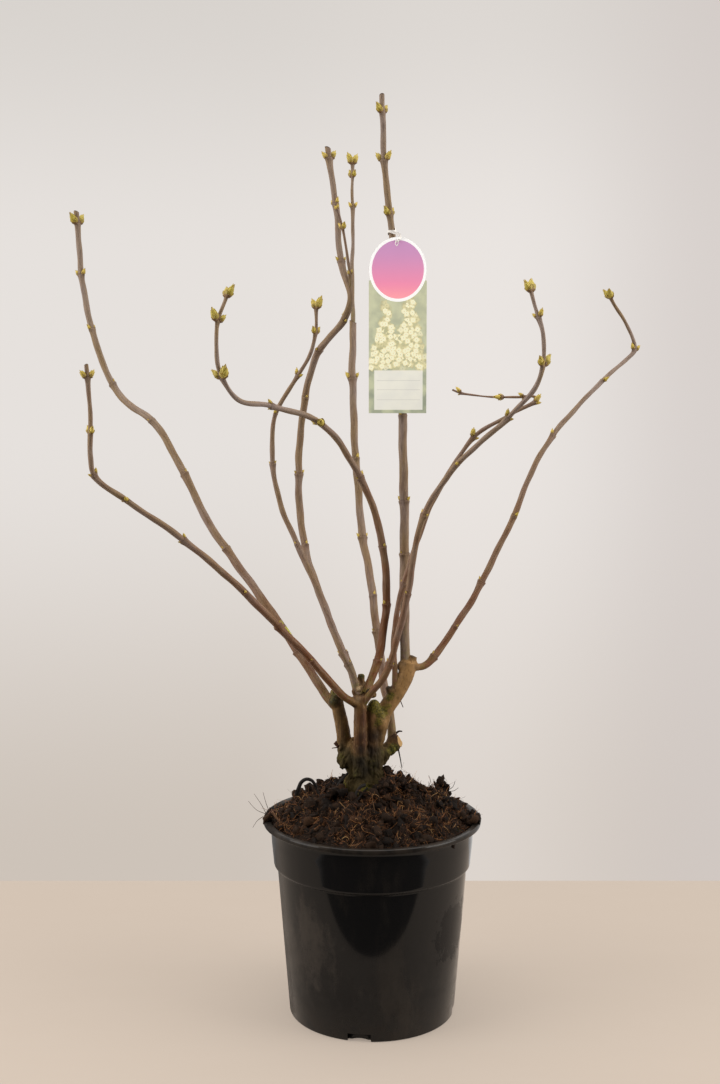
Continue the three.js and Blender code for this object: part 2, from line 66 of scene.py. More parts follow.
# %% [markdown]
# ## The camera
# The camera stands 1.7 metres in front of the plant, at about two thirds of its height, and is
# tilted a few degrees down. The lens is a normal one, so that upright canes stay nearly parallel.

# %% Place the camera
CAMERA_PLACE = (-0.015, -1.71, 0.763)
CAMERA_PITCH = 84.08  # degrees up from straight down
CAMERA_LENS = 47.03  # millimetres


def shown(name, data):
    """A new object at the origin that shows some data."""
    made = bpy.data.objects.new(name, data)
    scene.collection.objects.link(made)
    return made


camera = shown("camera", bpy.data.cameras.new("camera"))
camera.data.lens = CAMERA_LENS
camera.location = CAMERA_PLACE
camera.rotation_euler = (math.radians(CAMERA_PITCH), 0, 0)
scene.camera = camera
print("camera at", CAMERA_PLACE)

# %% [markdown]
# ## Node trees as expressions
# Both materials and Geometry Nodes are graphs. Written node by node they are hard to read, so one
# small class wraps a socket and lets Python's operators add the Math nodes. Vectors and colours go
# through Vector Math, and any other node comes from `add`.

# %% Value: a socket that operators work on
class Value:
    """An output socket. Each operation on it adds the node that does it."""

    def __init__(self, tree, socket):
        self.tree, self.socket = tree, socket

    def work(self, operation, first, second):
        vectors = [is_vector(first), is_vector(second)]
        if not any(vectors):
            return self.tree.add("ShaderNodeMath", first, second, operation=operation)
        if operation == "MULTIPLY" and not all(vectors):
            vector, factor = (first, second) if vectors[0] else (second, first)
            return self.tree.add(
                "ShaderNodeVectorMath", vector, None, None, factor, operation="SCALE")
        return self.tree.add("ShaderNodeVectorMath", first, second, operation=operation)

    def __abs__(self):
        return self.math("ABSOLUTE")

    def math(self, operation, other=None):
        return self.tree.add("ShaderNodeMath", self, other, operation=operation)

    def measure(self, operation, other=None):
        """One number out of a vector, such as its length."""
        return self.tree.add(
            "ShaderNodeVectorMath", self, other, operation=operation, output="Value")

    def rise(self, low, high):
        """0 up to low, 1 from high on, and smooth in between."""
        return self.tree.add("ShaderNodeMapRange", self, low, high, interpolation_type="SMOOTHSTEP")

    def band(self, low, high, soft=0.25):
        """1 between low and high."""
        return self.rise(low - soft, low + soft) * (1 - self.rise(high - soft, high + soft))

    def parts(self):
        """The x, y and z of a vector."""
        first = self.tree.add("ShaderNodeSeparateXYZ", self)
        return [first.other(name) for name in "XYZ"]

    def other(self, name):
        """Another output of the same node."""
        return Value(self.tree, self.socket.node.outputs[name])


def operator(operation, turned):
    """What Python calls for a sign: the value comes first, or second if the sign is turned."""
    return lambda self, other: self.work(operation, *((other, self) if turned else (self, other)))


for sign, operation in {"add": "ADD", "sub": "SUBTRACT", "mul": "MULTIPLY", "truediv": "DIVIDE",
                        "pow": "POWER"}.items():
    setattr(Value, f"__{sign}__", operator(operation, False))
    setattr(Value, f"__r{sign}__", operator(operation, True))


def is_vector(thing):
    if isinstance(thing, Value):
        return thing.socket.type in ("VECTOR", "RGBA")
    return isinstance(thing, tuple)


# %% Colours
def tint(code):
    """A colour from its #rrggbb code, as the linear light that a shader takes."""
    channels = [int(code[i:i + 2], 16) / 255 for i in (1, 3, 5)]
    light = [c / 12.92 if c <= 0.04045 else ((c + 0.055) / 1.055) ** 2.4 for c in channels]
    return (*light, 1.0)


print("a middle grey is", tint("#808080")[:3])


# %% Tree: any node, and the ones that come often
class Tree:
    """The nodes of a material, a world or a geometry group."""

    def __init__(self, tree):
        self.tree = tree
        self.grows = tree.bl_idname == "GeometryNodeTree"

    def add(self, kind, *inputs, output=0, **named):
        """Any node. Sockets go by number or by capitalised name, settings by small letters."""
        node = self.tree.nodes.new(kind)
        sockets = dict(enumerate(inputs))
        for name, value in named.items():
            if name[0].islower():
                setattr(node, name, value)
            else:
                sockets[name.replace("_", " ")] = value
        for key, value in sockets.items():
            if isinstance(value, Value):
                self.tree.links.new(value.socket, node.inputs[key])
            elif value is not None:
                is_code = isinstance(value, str) and value.startswith("#")
                node.inputs[key].default_value = tint(value) if is_code else value
        return Value(self, node.outputs[output])

    def geo(self, kind, *inputs, **named):
        return self.add("GeometryNode" + kind, *inputs, **named)

    def named(self, name, kind="FLOAT"):
        """A value that the mesh carries under a name."""
        if self.grows:
            return self.geo("InputNamedAttribute", Name=name, data_type=kind)
        output = "Fac" if kind == "FLOAT" else "Vector"
        return self.add("ShaderNodeAttribute", attribute_name=name, output=output)

    def arrow(self, name):
        return self.named(name, "FLOAT_VECTOR")

    def place(self):
        """Where a point is on the object."""
        if self.grows:
            return self.geo("InputPosition")
        return self.add("ShaderNodeTexCoord", output="Object")

    def noise(self, place, scale, detail=2.0, roughness=0.5, stretch=None):
        """Cloudy noise. A small stretch draws it out along z."""
        place = place * (1.0, 1.0, stretch) if stretch else place
        return self.add(
            "ShaderNodeTexNoise", Vector=place, Scale=scale, Detail=detail, Roughness=roughness)

    def cells(self, place, scale, feature="F1", output="Distance"):
        """A pattern of cells: how far the nearest centre or edge is, or where that centre is."""
        return self.add(
            "ShaderNodeTexVoronoi", Vector=place, Scale=scale, feature=feature, output=output)

    def mix(self, share, first, second):
        """A blend of two colours. The node's sockets 1 to 5 blend other kinds of values."""
        others = [None] * 5
        return self.add("ShaderNodeMix", share, *others, first, second, data_type="RGBA", output=2)

    def coats(self, colour, *layers):
        """A colour under layers, each with its share and its own colour."""
        for share, coat in layers:
            colour = self.mix(share, colour, coat)
        return colour

    def join(self, x, y, z):
        return self.add("ShaderNodeCombineXYZ", x, y, z)

    def bump(self, height, distance):
        """A surface direction tilted by a height that is given as a share of a distance."""
        return self.add("ShaderNodeBump", Height=height, Distance=distance, output="Normal")


# %% Materials from a function that paints them
def painted_nodes(store, name):
    """A new material or world, and its tree."""
    made = store.new(name)
    made.use_nodes = True
    return made, Tree(made.node_tree)


def finish_of(name, paint, **constants):
    """A material. The function paint works out what varies, and constants are the same all over."""
    material, tree = painted_nodes(bpy.data.materials, name)
    shader = material.node_tree.nodes["Principled BSDF"]
    for socket, value in constants.items():
        shader.inputs[socket.replace("_", " ")].default_value = value
    for socket, value in paint(tree).items():
        material.node_tree.links.new(value.socket, shader.inputs[socket])
    return material


# %% [markdown]
# ## Growing with Geometry Nodes
# A rule that repeats a shape or follows a path is a node group with named inputs. It runs once on
# a source mesh, and its result is kept as a plain mesh, because instances and modifiers would be
# lost when the object is passed on.

# %% Node groups: make one, run one
def rule(name, **inputs):
    """A geometry group with a material and named inputs: a number, or the kind of the socket."""
    group = bpy.data.node_groups.new(name, "GeometryNodeTree")

    def socket(label, kind, way="INPUT"):
        return group.interface.new_socket(label, in_out=way, socket_type="NodeSocket" + kind)

    socket("Geometry", "Geometry")
    socket("Geometry", "Geometry", "OUTPUT")
    for label, default in {**inputs, "Material": "Material"}.items():
        if isinstance(default, str):
            socket(label, default)
        else:
            socket(label, "Int" if isinstance(default, int) else "Float").default_value = default
    tree = Tree(group)
    given = group.nodes.new("NodeGroupInput")
    return tree, {output.name: Value(tree, output) for output in given.outputs if output.name}


def close_rule(tree, geometry, given):
    """Ends a group the way every group here ends: real geometry with a material on it."""
    real = tree.geo("RealizeInstances", geometry)
    painted = tree.geo("SetMaterial", Geometry=real, Material=given["Material"])
    result = tree.tree.nodes.new("NodeGroupOutput")
    tree.tree.links.new(painted.socket, result.inputs["Geometry"])
    print("rule:", tree.tree.name)
    return tree.tree


def grown(source, group, **settings):
    """Runs a rule on a mesh object and keeps the outcome as its plain mesh."""
    modifier = source.modifiers.new("rule", "NODES")
    modifier.node_group = group
    for item in group.interface.items_tree:
        if item.in_out == "INPUT" and item.name in settings:
            modifier[item.identifier] = settings[item.name]
    return made_plain(source)


def made_plain(source):
    """Applies every modifier of an object by taking its evaluated mesh."""
    graph = bpy.context.evaluated_depsgraph_get()
    mesh = bpy.data.meshes.new_from_object(
        source.evaluated_get(graph), preserve_all_data_layers=True, depsgraph=graph)
    source.modifiers.clear()
    source.data = mesh
    mesh.name = source.name
    return source


# %% Meshes from lists, and what they carry
def mesh_object(name, vertices, faces=(), edges=()):
    """An object at the origin from vertices in millimetres."""
    mesh = bpy.data.meshes.new(name)
    mesh.from_pydata((np.asarray(vertices, float) * MM).tolist(), edges, faces)
    mesh.validate()
    return shown(name, mesh)


def carry(made, **marks):
    """Stores a number or a vector for each vertex of an object's mesh, under each name."""
    for name, values in marks.items():
        values = np.asarray(values)
        whole, arrows = values.dtype.kind == "i", values.ndim > 1
        kind = "FLOAT_VECTOR" if arrows else "INT" if whole else "FLOAT"
        layer = made.data.attributes.new(name, kind, "POINT")
        values = values.astype(np.int32 if whole else np.float32).ravel()
        layer.data.foreach_set("vector" if arrows else "value", values)


def read(rows, field, width=3):
    """One field of a mesh's vertices or of an attribute, as an array."""
    values = np.zeros(len(rows) * width, np.float32)
    rows.foreach_get(field, values)
    return values.reshape(-1, width) if width > 1 else values


def points_of(made):
    """The places of an object's vertices, in millimetres."""
    return read(made.data.vertices, "co") / MM


def move_points(made, points):
    made.data.vertices.foreach_set("co", (points * MM).astype(np.float32).ravel())


def fused(made, voxel, smoothings=0):
    """Melts bodies that pass through each other into one skin."""
    fuse = made.modifiers.new("fuse", "REMESH")
    fuse.mode, fuse.voxel_size = "VOXEL", voxel * MM
    if smoothings:
        soften = made.modifiers.new("soften", "SMOOTH")
        soften.factor, soften.iterations = 0.5, smoothings
    made_plain(made)
    print(made.name, "fused:", len(made.data.vertices), "vertices")
    return made


def dressed(made, finish, angle=180):
    """Gives a mesh its finish and shades it smooth, apart from edges sharper than an angle."""
    made.data.shade_smooth()
    if angle < 180:
        made.data.set_sharp_from_angle(angle=math.radians(angle))
    made.data.materials.append(finish)
    return made


def keep(made, slot, *replaced):
    """A finished piece: it rides on the plant's body and stands for the named solids."""
    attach(made, ON)
    if replaced:
        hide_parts(*replaced)
    triangles = sum(len(face.vertices) - 2 for face in made.data.polygons)
    print(f"{made.name}: {triangles} triangles, {len(replaced)} solids replaced")


# %% Shape: several simple bodies in one mesh
class Shape:
    """Collects closed bodies before they become a mesh. Marks are values that vertices carry."""

    def __init__(self):
        self.vertices, self.faces, self.marks = [], [], {}

    def add(self, body, **marks):
        vertices, faces = body
        start = len(self.vertices)
        self.vertices.extend(np.asarray(vertices, float).tolist())
        self.faces.extend([[start + corner for corner in face] for face in faces])
        for name, values in marks.items():
            spread = np.broadcast_to(np.asarray(values, float), len(vertices))
            self.marks.setdefault(name, []).extend(spread.tolist())
        return self

    def made(self, name):
        made = mesh_object(name, self.vertices, self.faces)
        carry(made, **self.marks)
        return made


# %% Simple bodies: rings, rods, balls and shells
def unit(vectors):
    return vectors / np.linalg.norm(vectors, axis=-1, keepdims=True)


def circle(count):
    """Cosines and sines of evenly spread turns."""
    turns = np.arange(count) * 2 * np.pi / count
    return np.cos(turns), np.sin(turns)


def grid(x, y, z):
    """Points from coordinates that are spread over each other."""
    return np.stack(np.broadcast_arrays(x, y, z), axis=-1)


def table_at(places, rows):
    """A value between the rows of a table of places and values."""
    return np.interp(places, *zip(*rows))


def capped(rings, poles):
    """A closed body from rings of equally many points, with a point at either end."""
    sides = len(rings[0])
    last = (len(rings) - 1) * sides
    faces = [[a + k, a + (k + 1) % sides, a + sides + (k + 1) % sides, a + sides + k]
             for a in range(0, last, sides) for k in range(sides)]
    for k in range(sides):
        after = (k + 1) % sides
        faces += [[last + sides, after, k], [last + sides + 1, last + k, last + after]]
    return np.vstack(rings + [poles]), faces


def tube(points, radii, sides):
    """A closed round rod along some points, with a radius at each."""
    points = np.asarray(points, float)
    radii = np.broadcast_to(radii, len(points))
    headings = unit(np.gradient(points, axis=0))
    side = np.cross(headings[0], (0.31, 0.95, 0.05))
    cosines, sines = circle(sides)
    rings = []
    for point, heading, radius in zip(points, headings, radii):
        side = unit(side - heading * side.dot(heading))
        third = np.cross(heading, side)
        rings.append(point + radius * (np.outer(cosines, side) + np.outer(sines, third)))
    return capped(rings, points[[0, -1]])


def blob(centre, radii, detail=3):
    """A ball squeezed to three radii."""
    ball = bmesh.new()
    bmesh.ops.create_icosphere(ball, subdivisions=detail, radius=1)
    vertices = np.array([vertex.co for vertex in ball.verts]) * radii + centre
    faces = [[vertex.index for vertex in face.verts] for face in ball.faces]
    ball.free()
    return vertices, faces


def shell(outer, inner):
    """A closed body between two grids of points that have the same rows and columns."""
    rows, columns = outer.shape[:2]
    count = rows * columns
    number = np.arange(count).reshape(rows, columns)
    faces = []
    for i in range(rows - 1):
        for j in range(columns - 1):
            a = i * columns + j
            faces.append([a, a + 1, a + columns + 1, a + columns])
            faces.append([count + corner for corner in reversed(faces[-1])])
    edge = [*number[0], *number[1:, -1], *number[-1, -2::-1], *number[-2:0:-1, 0]]
    edge = [int(corner) for corner in edge]
    for a, b in zip(edge, edge[1:] + edge[:1]):
        faces.append([b, a, a + count, b + count])
    return np.vstack([outer.reshape(-1, 3), inner.reshape(-1, 3)]), faces


# %% [markdown]
# ## The stage
# Soft boxes stand left and right of the plant and hang above it. The wall behind it is pale,
# while the room behind the camera is dark. That is why round canes are bright along both edges,
# and why the glossy pot has a black front between two grey flanks. The floor ends in a faint line
# where the wall rises. The wall itself is only the world's colour, so that nothing hides the plant
# from behind.

# %% Light the plant from both sides
WALL_AT = 0.46  # metres behind the pot
FLOOR_FRONT = -0.29  # the table ends here, in front of the pot
FLOOR_HALF = 14.0
LAMP_TINT = (1.0, 0.97, 0.93)
# Where each soft box stands, where it aims, its width and height, and its power.
SOFT_BOXES = {
    "soft_box_left": ((-1.75, -0.55, 0.95), (0, 0, 0.5), (1.3, 1.7), 32),
    "soft_box_right": ((1.75, -0.55, 0.95), (0, 0, 0.5), (1.3, 1.7), 32),
    "soft_box_above": ((0, -0.3, 2.5), (0, 0, 0.4), (2.2, 1.6), 22),
}


def light_world():
    """The camera sees a pale wall. The plant is lit by a room that is dark behind the camera."""
    scene.world, tree = painted_nodes(bpy.data.worlds, "studio")
    x, y, z = tree.add("ShaderNodeTexCoord", output="Generated").parts()
    glow = y.rise(-0.5, -0.28) * 0.8 + z.rise(0.1, 0.9) * 0.5 + 0.1
    brightest = (1 - abs(x - 0.07).rise(0.0, 0.16)) * (1 - z.rise(0.05, 0.25) * 0.6)
    # The wall's colour is painted light: a brighter pool a little right of the middle, and painted
    # shade towards its top, its right side and its foot.
    colour = tree.coats(
        tree.mix(z.rise(0.09, 0.27), "#e6e1dd", "#d8d3ce"),
        (1 - z.rise(-0.32, -0.02), "#cdc3b9"),
        (x.rise(0.1, 0.25) * 0.7, "#d2cac6"),
        (brightest * 0.4, "#f1ebe7"))
    room = tree.add("ShaderNodeBackground", Color="#f4f1ee", Strength=glow)
    wall = tree.add("ShaderNodeBackground", Color=colour, Strength=1.0)
    seen = tree.add("ShaderNodeLightPath", output="Is Camera Ray")
    either = tree.add("ShaderNodeMixShader", seen, room, wall)
    tree.tree.links.new(either.socket, tree.tree.nodes["World Output"].inputs["Surface"])


light_world()
for name, (place, aim, (width, height), power) in SOFT_BOXES.items():
    light = shown(name, bpy.data.lights.new(name, "AREA"))
    light.data.shape, light.data.size, light.data.size_y = "RECTANGLE", width, height
    light.data.energy, light.data.color = power, LAMP_TINT
    light.location = place
    light.rotation_euler = (Vector(aim) - Vector(place)).to_track_quat("-Z", "Y").to_euler()
    light.visible_camera = False
scene.view_settings.view_transform = "Standard"


# %% Lay the floor
def paint_floor(tree):
    """Matt board that is half lit from within, so that it stays as even as the wall."""
    place = tree.place()
    scuffs = tree.noise(place * (1.0, 3.5, 1.0), 7, 4)
    colour = tree.coats(
        "#b0a498", (scuffs.rise(0.35, 0.75) * 0.25, "#b3a89d"),
        (tree.noise(place, 260, 3).rise(0.62, 0.8) * 0.12, "#8f8478"))
    matt = tree.add("ShaderNodeBsdfDiffuse", Color=colour)
    lit = tree.add("ShaderNodeEmission", Color="#cbbcae", Strength=1.0)
    return tree.add("ShaderNodeMixShader", 0.5, matt, lit)


floor = mesh_object("floor", [
    (x * FLOOR_HALF / MM, y / MM, 0)
    for x, y in ((-1, FLOOR_FRONT), (1, FLOOR_FRONT), (1, WALL_AT), (-1, WALL_AT))], [(0, 1, 2, 3)])
floor_finish, floor_tree = painted_nodes(bpy.data.materials, "floor_board")
floor_surface = floor_finish.node_tree.nodes["Material Output"].inputs["Surface"]
floor_finish.node_tree.links.new(paint_floor(floor_tree).socket, floor_surface)
floor.data.materials.append(floor_finish)
print("stage: floor and wall line at", WALL_AT, "m")

# %% [markdown]
# ## The growth rule
# A limb is known by what a gardener could note down: where its foot is, which way it leans, its
# girth at foot and tip, and the length and lean of each internode with the size of the buds at
# its end. The lists are those of the solids, in millimetres and degrees, so a cane here runs
# through the middle of its solid. The shade pair says how brown its bark is at foot and tip: old
# wood is red-brown, last year's growth is grey.

# %% The limbs
# Foot, bearing and growth of the trunk, and its girth at some distances.
TRUNK = (-9, 0, 276.3), 180, [(12, 0, 0), (12, 0, 0), (28, 9, 0), (17, 4, 0)]
TRUNK_GIRTHS = [(0, 30), (8, 25.5), (20, 22), (32, 25), (43, 28.5), (55, 26), (64, 18), (69, 8)]

# Foot, bearing, growth and girth.
ARMS = {
    "arm_left": ((-32.5, 2, 316), 180, [(41, 6, 0), (24, 12, 0), (18, 7, 0)], (18.5, 15)),
    "arm_centre": ((-15, -16, 300), 0, [(57, 0, 0), (37, 1, 0), (30, 3, 0)], (16.5, 15)),
    "arm_right": ((0, 1, 318), 2, [
        (36, 13, 0), (26, 18, 0), (25, 33, 0), (23, 28, 0), (20, 14, 0)], (20.5, 20)),
    "arm_stub": ((6, 9, 312), 22, [(39, 48, 0)], (19, 16.5)),
    "old_stub": ((-1, -4, 312), 0, [(40, 1, 0), (32, 2, 0)], (20, 16.5)),
}
CENTRE_SHOWN = 97  # the centre arm's head is fused from here on

# Foot, bearing, growth, girth, turn of the top pair of buds, and shade.
CANES = {
    "left_tall": ((-46, 4, 384), 152, [
        (14, 53, 0), (18, 36, 0), (50, 38, 3), (82, 40, 0), (80, 41, 3), (47, 40, 0), (65, 29, 5),
        (85, 37, 3), (36, 60, 0), (43, 47, 4), (78, 24, 7), (73, 12, 9), (67, 5, 15), (15, 4, 0),
    ], (11, 6.8), 90, (0.75, 0.05)),
    "left_low": ((-17, -17, 389.5), 204, [
        (15, 63, 0), (20, 49, 0), (51, 41, 3), (61, 43, 3), (58, 45, 4), (98, 48, 6), (80, 55, 8),
        (47, 50, 6), (20, 11, 0), (26, -1, 8), (61, 2, 10), (14, 5, 0),
    ], (9.6, 4.4), 0, (0.95, 0.3)),
    "inner_left_short": ((-16, -19, 402), 158, [
        (22, 20, 0), (17, 26, 3), (88, 24, 0), (71, 26, 3), (58, 24, 0), (45, 12, 3), (31, -1, 0),
        (31, -10, 4), (54, -32, 7), (35, -32, 0), (21, -16, 9), (31, -1, 12),
    ], (8, 3.8), 0, (0.4, 0.3)),
    "inner_left_tall": ((-18, -10, 402), 122, [
        (27, 32, 0), (28, 42, 3), (96, 41, 0), (62, 31, 4), (54, 16, 0), (39, -1, 4), (29, 0, 0),
        (72, -14, 5), (43, -24, 0), (25, -44, 4), (69, -59, 7), (29, -28, 0), (48, 24, 5),
        (70, 11, 8), (58, 15, 10), (13, 13, 0),
    ], (9.8, 7), 90, (0.45, 0.2)),
    "centre_tall": ((25, 19, 334), 112, [
        (34, 10, 0), (36, 31, 0), (71, 20, 4), (46, 18, 4), (79, 25, 5), (104, 14, 5), (104, 6, 7),
        (72, -1, 0),
    ], (10.4, 9), 90, (0.55, 0.15)),
    "front_arch": ((-9, -14, 402), 222, [
        (22, -32, 0), (21, -26, 3), (70, -12, 4), (72, 5, 5), (93, 23, 5), (90, 44, 13),
        (76, 74, 6), (46, 82, 0), (33, 43, 14), (35, 12, 0), (27, -7, 12), (30, -23, 12),
    ], (10.2, 3.6), 90, (1.0, 0.2)),
    "right_front": ((-10, -18, 392), -35, [
        (22, 40, 0), (18, 42, 0), (24, 26, 3), (51, 19, 0), (39, 15, 3), (31, 7, 0), (66, 16, 5),
        (75, 36, 5), (84, 51, 8), (47, 45, 0), (26, 20, 12), (32, 0, 0), (21, -15, 9),
        (31, -19, 13),
    ], (8.4, 4), 90, (0.8, 0.2)),
    "tag_cane": ((41, 6, 430), 190, [
        (49, 2, 0), (92, 0, 4), (64, 1, 5), (104, 1, 5), (102, 3, 5), (80, 4, 0), (55, 5, 10),
        (64, 7, 10), (55, 2, 11), (20, 2, 0),
    ], (11.8, 6.2), 45, (0.4, 0.1)),
    "right_inner": ((28, -2, 400), -22, [
        (22, -1, 0), (26, -4, 3), (38, 4, 0), (51, 12, 3), (63, 18, 4), (65, 25, 0), (71, 34, 9),
        (48, 59, 6), (38, 63, 11),
    ], (7.2, 4), 0, (0.8, 0.4)),
    "right_outer": ((47, 2, 431), 28, [
        (19, 90, 0), (18, 56, 3), (46, 40, 3), (67, 36, 3), (93, 30, 6), (55, 26, 0), (62, 34, 5),
        (103, 48, 7), (49, 54, 0), (17, 43, 9), (17, -13, 0), (62, -36, 12),
    ], (8.8, 4), 90, (0.85, 0.25)),
}

# The same, but the foot is the cane it grows on, which joint, and how far before that joint.
TWIGS = {
    "centre_tall_shoot": (("centre_tall", 8, 4), 112, [
        (100, 1, 0), (50, -1, 7), (38, 0, 9), (18, 0, 13)], (5.6, 3.4), 90, (0.1, 0.0)),
    "inner_left_spur": (("inner_left_tall", 12, 0), 225, [
        (27, -1, 5), (19, 12, 0), (16, 15, 0), (19, 15, 7), (24, 21, 6),
    ], (3.6, 2.6), 0, (0.5, 0.4)),
    "right_inner_twig": (("right_inner", 9, 5), 158, [
        (9, -46, 0), (9, 75, 0), (8, 99, 5), (25, 89, 9), (52, 85, 6), (10, 69, 0),
    ], (2.8, 2), 0, (0.7, 0.5)),
}
STRETCHES = {"centre_tall": ["bough"], "front_arch": ["lower_bough", "upper_bough", "shoot"]}

# %% Routes: from growth steps to one smooth middle line
PER_STEP = 40  # samples between two joints
COLLAR, COLLAR_REACH, TAPER_POWER = 0.1, 14, 1.5


def rounded(joints):
    """A centripetal curve through the joints, with its ends carried straight on."""
    joints = np.asarray(joints, float)
    ends = 2 * joints[0] - joints[1], 2 * joints[-1] - joints[-2]
    around = np.vstack([ends[0], joints, ends[1]])
    share = np.linspace(0, 1, PER_STEP, endpoint=False)[:, None]
    stretches = []
    for before, start, end, after in zip(around, around[1:], around[2:], around[3:]):
        first, middle, last = (
            np.linalg.norm(b - a) ** 0.5 for a, b in ((before, start), (start, end), (end, after)))
        leave = (start - before) / first - (end - before) / (first + middle)
        arrive = (after - end) / last - (after - start) / (middle + last)
        leave, arrive = leave * middle + end - start, end - start + arrive * middle
        cubic = 2 * start - 2 * end + leave + arrive
        square = 3 * end - 3 * start - 2 * leave - arrive
        stretches.append(((cubic * share + square) * share + leave) * share + start)
    return np.vstack(stretches + [joints[-1:]])


def compass(degrees):
    """The level direction of a bearing."""
    turn = math.radians(degrees)
    return np.array((math.cos(turn), math.sin(turn), 0))


class Route:
    """The middle line of a limb that grows in one upright plane, and its girth along the line."""

    def __init__(self, foot, bearing, growth, girth=(0, 0)):
        heading = compass(bearing)
        self.girth, self.across = girth, np.array((-heading[1], heading[0], 0))
        joints = [np.array(foot, float)]
        for length, lean, _ in growth:
            out, up = math.sin(math.radians(lean)), math.cos(math.radians(lean))
            joints.append(joints[-1] + length * (heading * out + np.array((0, 0, up))))
        self.points = rounded(joints)
        gone = np.linalg.norm(np.diff(self.points, axis=0), axis=1)
        self.at = np.concatenate([[0], np.cumsum(gone)])
        self.length = self.at[-1]
        self.joints = [self.at[PER_STEP * (i + 1)] for i in range(len(growth))]
        self.nodes = [(at, bud) for at, (_, _, bud) in zip(self.joints, growth) if bud]

    def point(self, distance):
        return np.stack([np.interp(distance, self.at, line) for line in self.points.T], axis=-1)

    def along(self, distance):
        return unit(self.point(np.minimum(distance + 0.5, self.length))
                    - self.point(np.maximum(distance - 0.5, 0)))

    def radius(self, distance):
        foot, tip = self.girth
        share = np.clip(distance / self.length, 0, 1)
        collar = COLLAR * np.maximum(0, 1 - distance / COLLAR_REACH)
        return (foot + (tip - foot) * share ** TAPER_POWER) / 2 * (1 + collar)


# %% Limbs: the nodes where buds stand, and how a cane strays from its route
WANDER = 0.5  # how far a cane strays from its even curve
EASE_FOOT, EASE_TIP = 40, 30  # it strays less within these distances of its ends
# Length and height of the waves to either side, and in and out.
SWAY, BOW = ((17, 1), (7.3, 0.7)), ((23, 1), (9.1, 0.6))


def seeded(seed):
    """The repeatable stream of numbers from 0 to 1 that the solids draw from."""
    state = seed
    while True:
        state = (state * 1664525 + 1013904223) % 4294967296
        yield state / 4294967296


def waves(distance, lengths, drift):
    """A few sine waves on top of each other, each with its own start."""
    return sum(height * np.sin(distance / length + start)
               for (length, height), start in zip(lengths, drift))


class Limb(Route):
    """A cane or twig: its route, its bud pairs, and how it strays from an even curve."""

    def __init__(self, name, foot, table, seed):
        _, bearing, growth, girth, twist, self.shade = table
        super().__init__(foot, bearing, growth, girth)
        self.name = name
        self.pairs = list(self.pairs_from_tip(twist, seeded(seed)))
        self.drift = np.random.default_rng(seed).uniform(0, 6.28, 4)

    def pairs_from_tip(self, twist, draw):
        """The bud pairs from the tip down, each a quarter turn from the next."""
        for order, (at, bud) in enumerate(reversed(self.nodes)):
            wander = (next(draw) - 0.5) * 24
            sizes = [1 + (next(draw) - 0.5) * 0.3 for _ in range(2)]
            turn = math.radians(twist + 90 * order + wander)
            along = self.along(at)
            beside = unit(np.cross(self.across, along))
            outward = beside * math.cos(turn) + np.cross(along, beside) * math.sin(turn)
            yield {"at": at, "bud": bud, "sizes": sizes, "along": along, "outward": outward}

    def middle(self, distance):
        """The middle line, which wanders a little about the even route."""
        side = np.tile(self.across, (np.size(distance), 1))
        third = np.cross(self.along(distance), side)
        near_foot = np.clip(distance / EASE_FOOT, 0, 1)
        ease = near_foot * np.clip((self.length - distance) / EASE_TIP, 0, 1) * WANDER
        sway = waves(distance, SWAY, self.drift[:2]) * ease
        bow = waves(distance, BOW, self.drift[2:]) * ease
        return self.point(distance) + side * sway[:, None] + third * bow[:, None]

    def solids(self):
        """The names of the measured solids that this limb stands for."""
        if self.name in TWIGS:
            return [self.name]
        return [f"{self.name}_{part}" for part in STRETCHES.get(self.name, ["bough", "shoot"])]


limbs = {}
for order, (name, table) in enumerate(CANES.items()):
    limbs[name] = Limb(name, table[0], table, 100 + 10 * order)
for order, (name, table) in enumerate(TWIGS.items()):
    parent, joint, before = table[0]
    foot = limbs[parent].point(limbs[parent].joints[joint - 1] - before)
    limbs[name] = Limb(name, foot, table, 300 + 10 * order)
print("limbs:", len(limbs), "with", sum(len(limb.pairs) for limb in limbs.values()), "bud pairs")

# %% [markdown]
# ## Bark of the canes
# Lilac bark is thin and smooth at this age: a grey-brown skin with fine lengthwise streaks, pale
# pores, and red-brown wood colour where it is older. Because the streaks follow the cane and not
# the room, the material reads a place that each tube carries with it: its own length as if the
# cane were laid out straight. The ring above each node is where last year's bud scales fell; a
# fainter dark band below each node is painted shade under the cushion.


# %% Bark finishes
def straight_grain(tree, place):
    """Fine streaks and broader flakes that run along a limb."""
    return [tree.noise(place, scale, detail, 0.6, stretch)
            for scale, detail, stretch in ((1250, 3, 0.055), (330, 4, 0.16))]


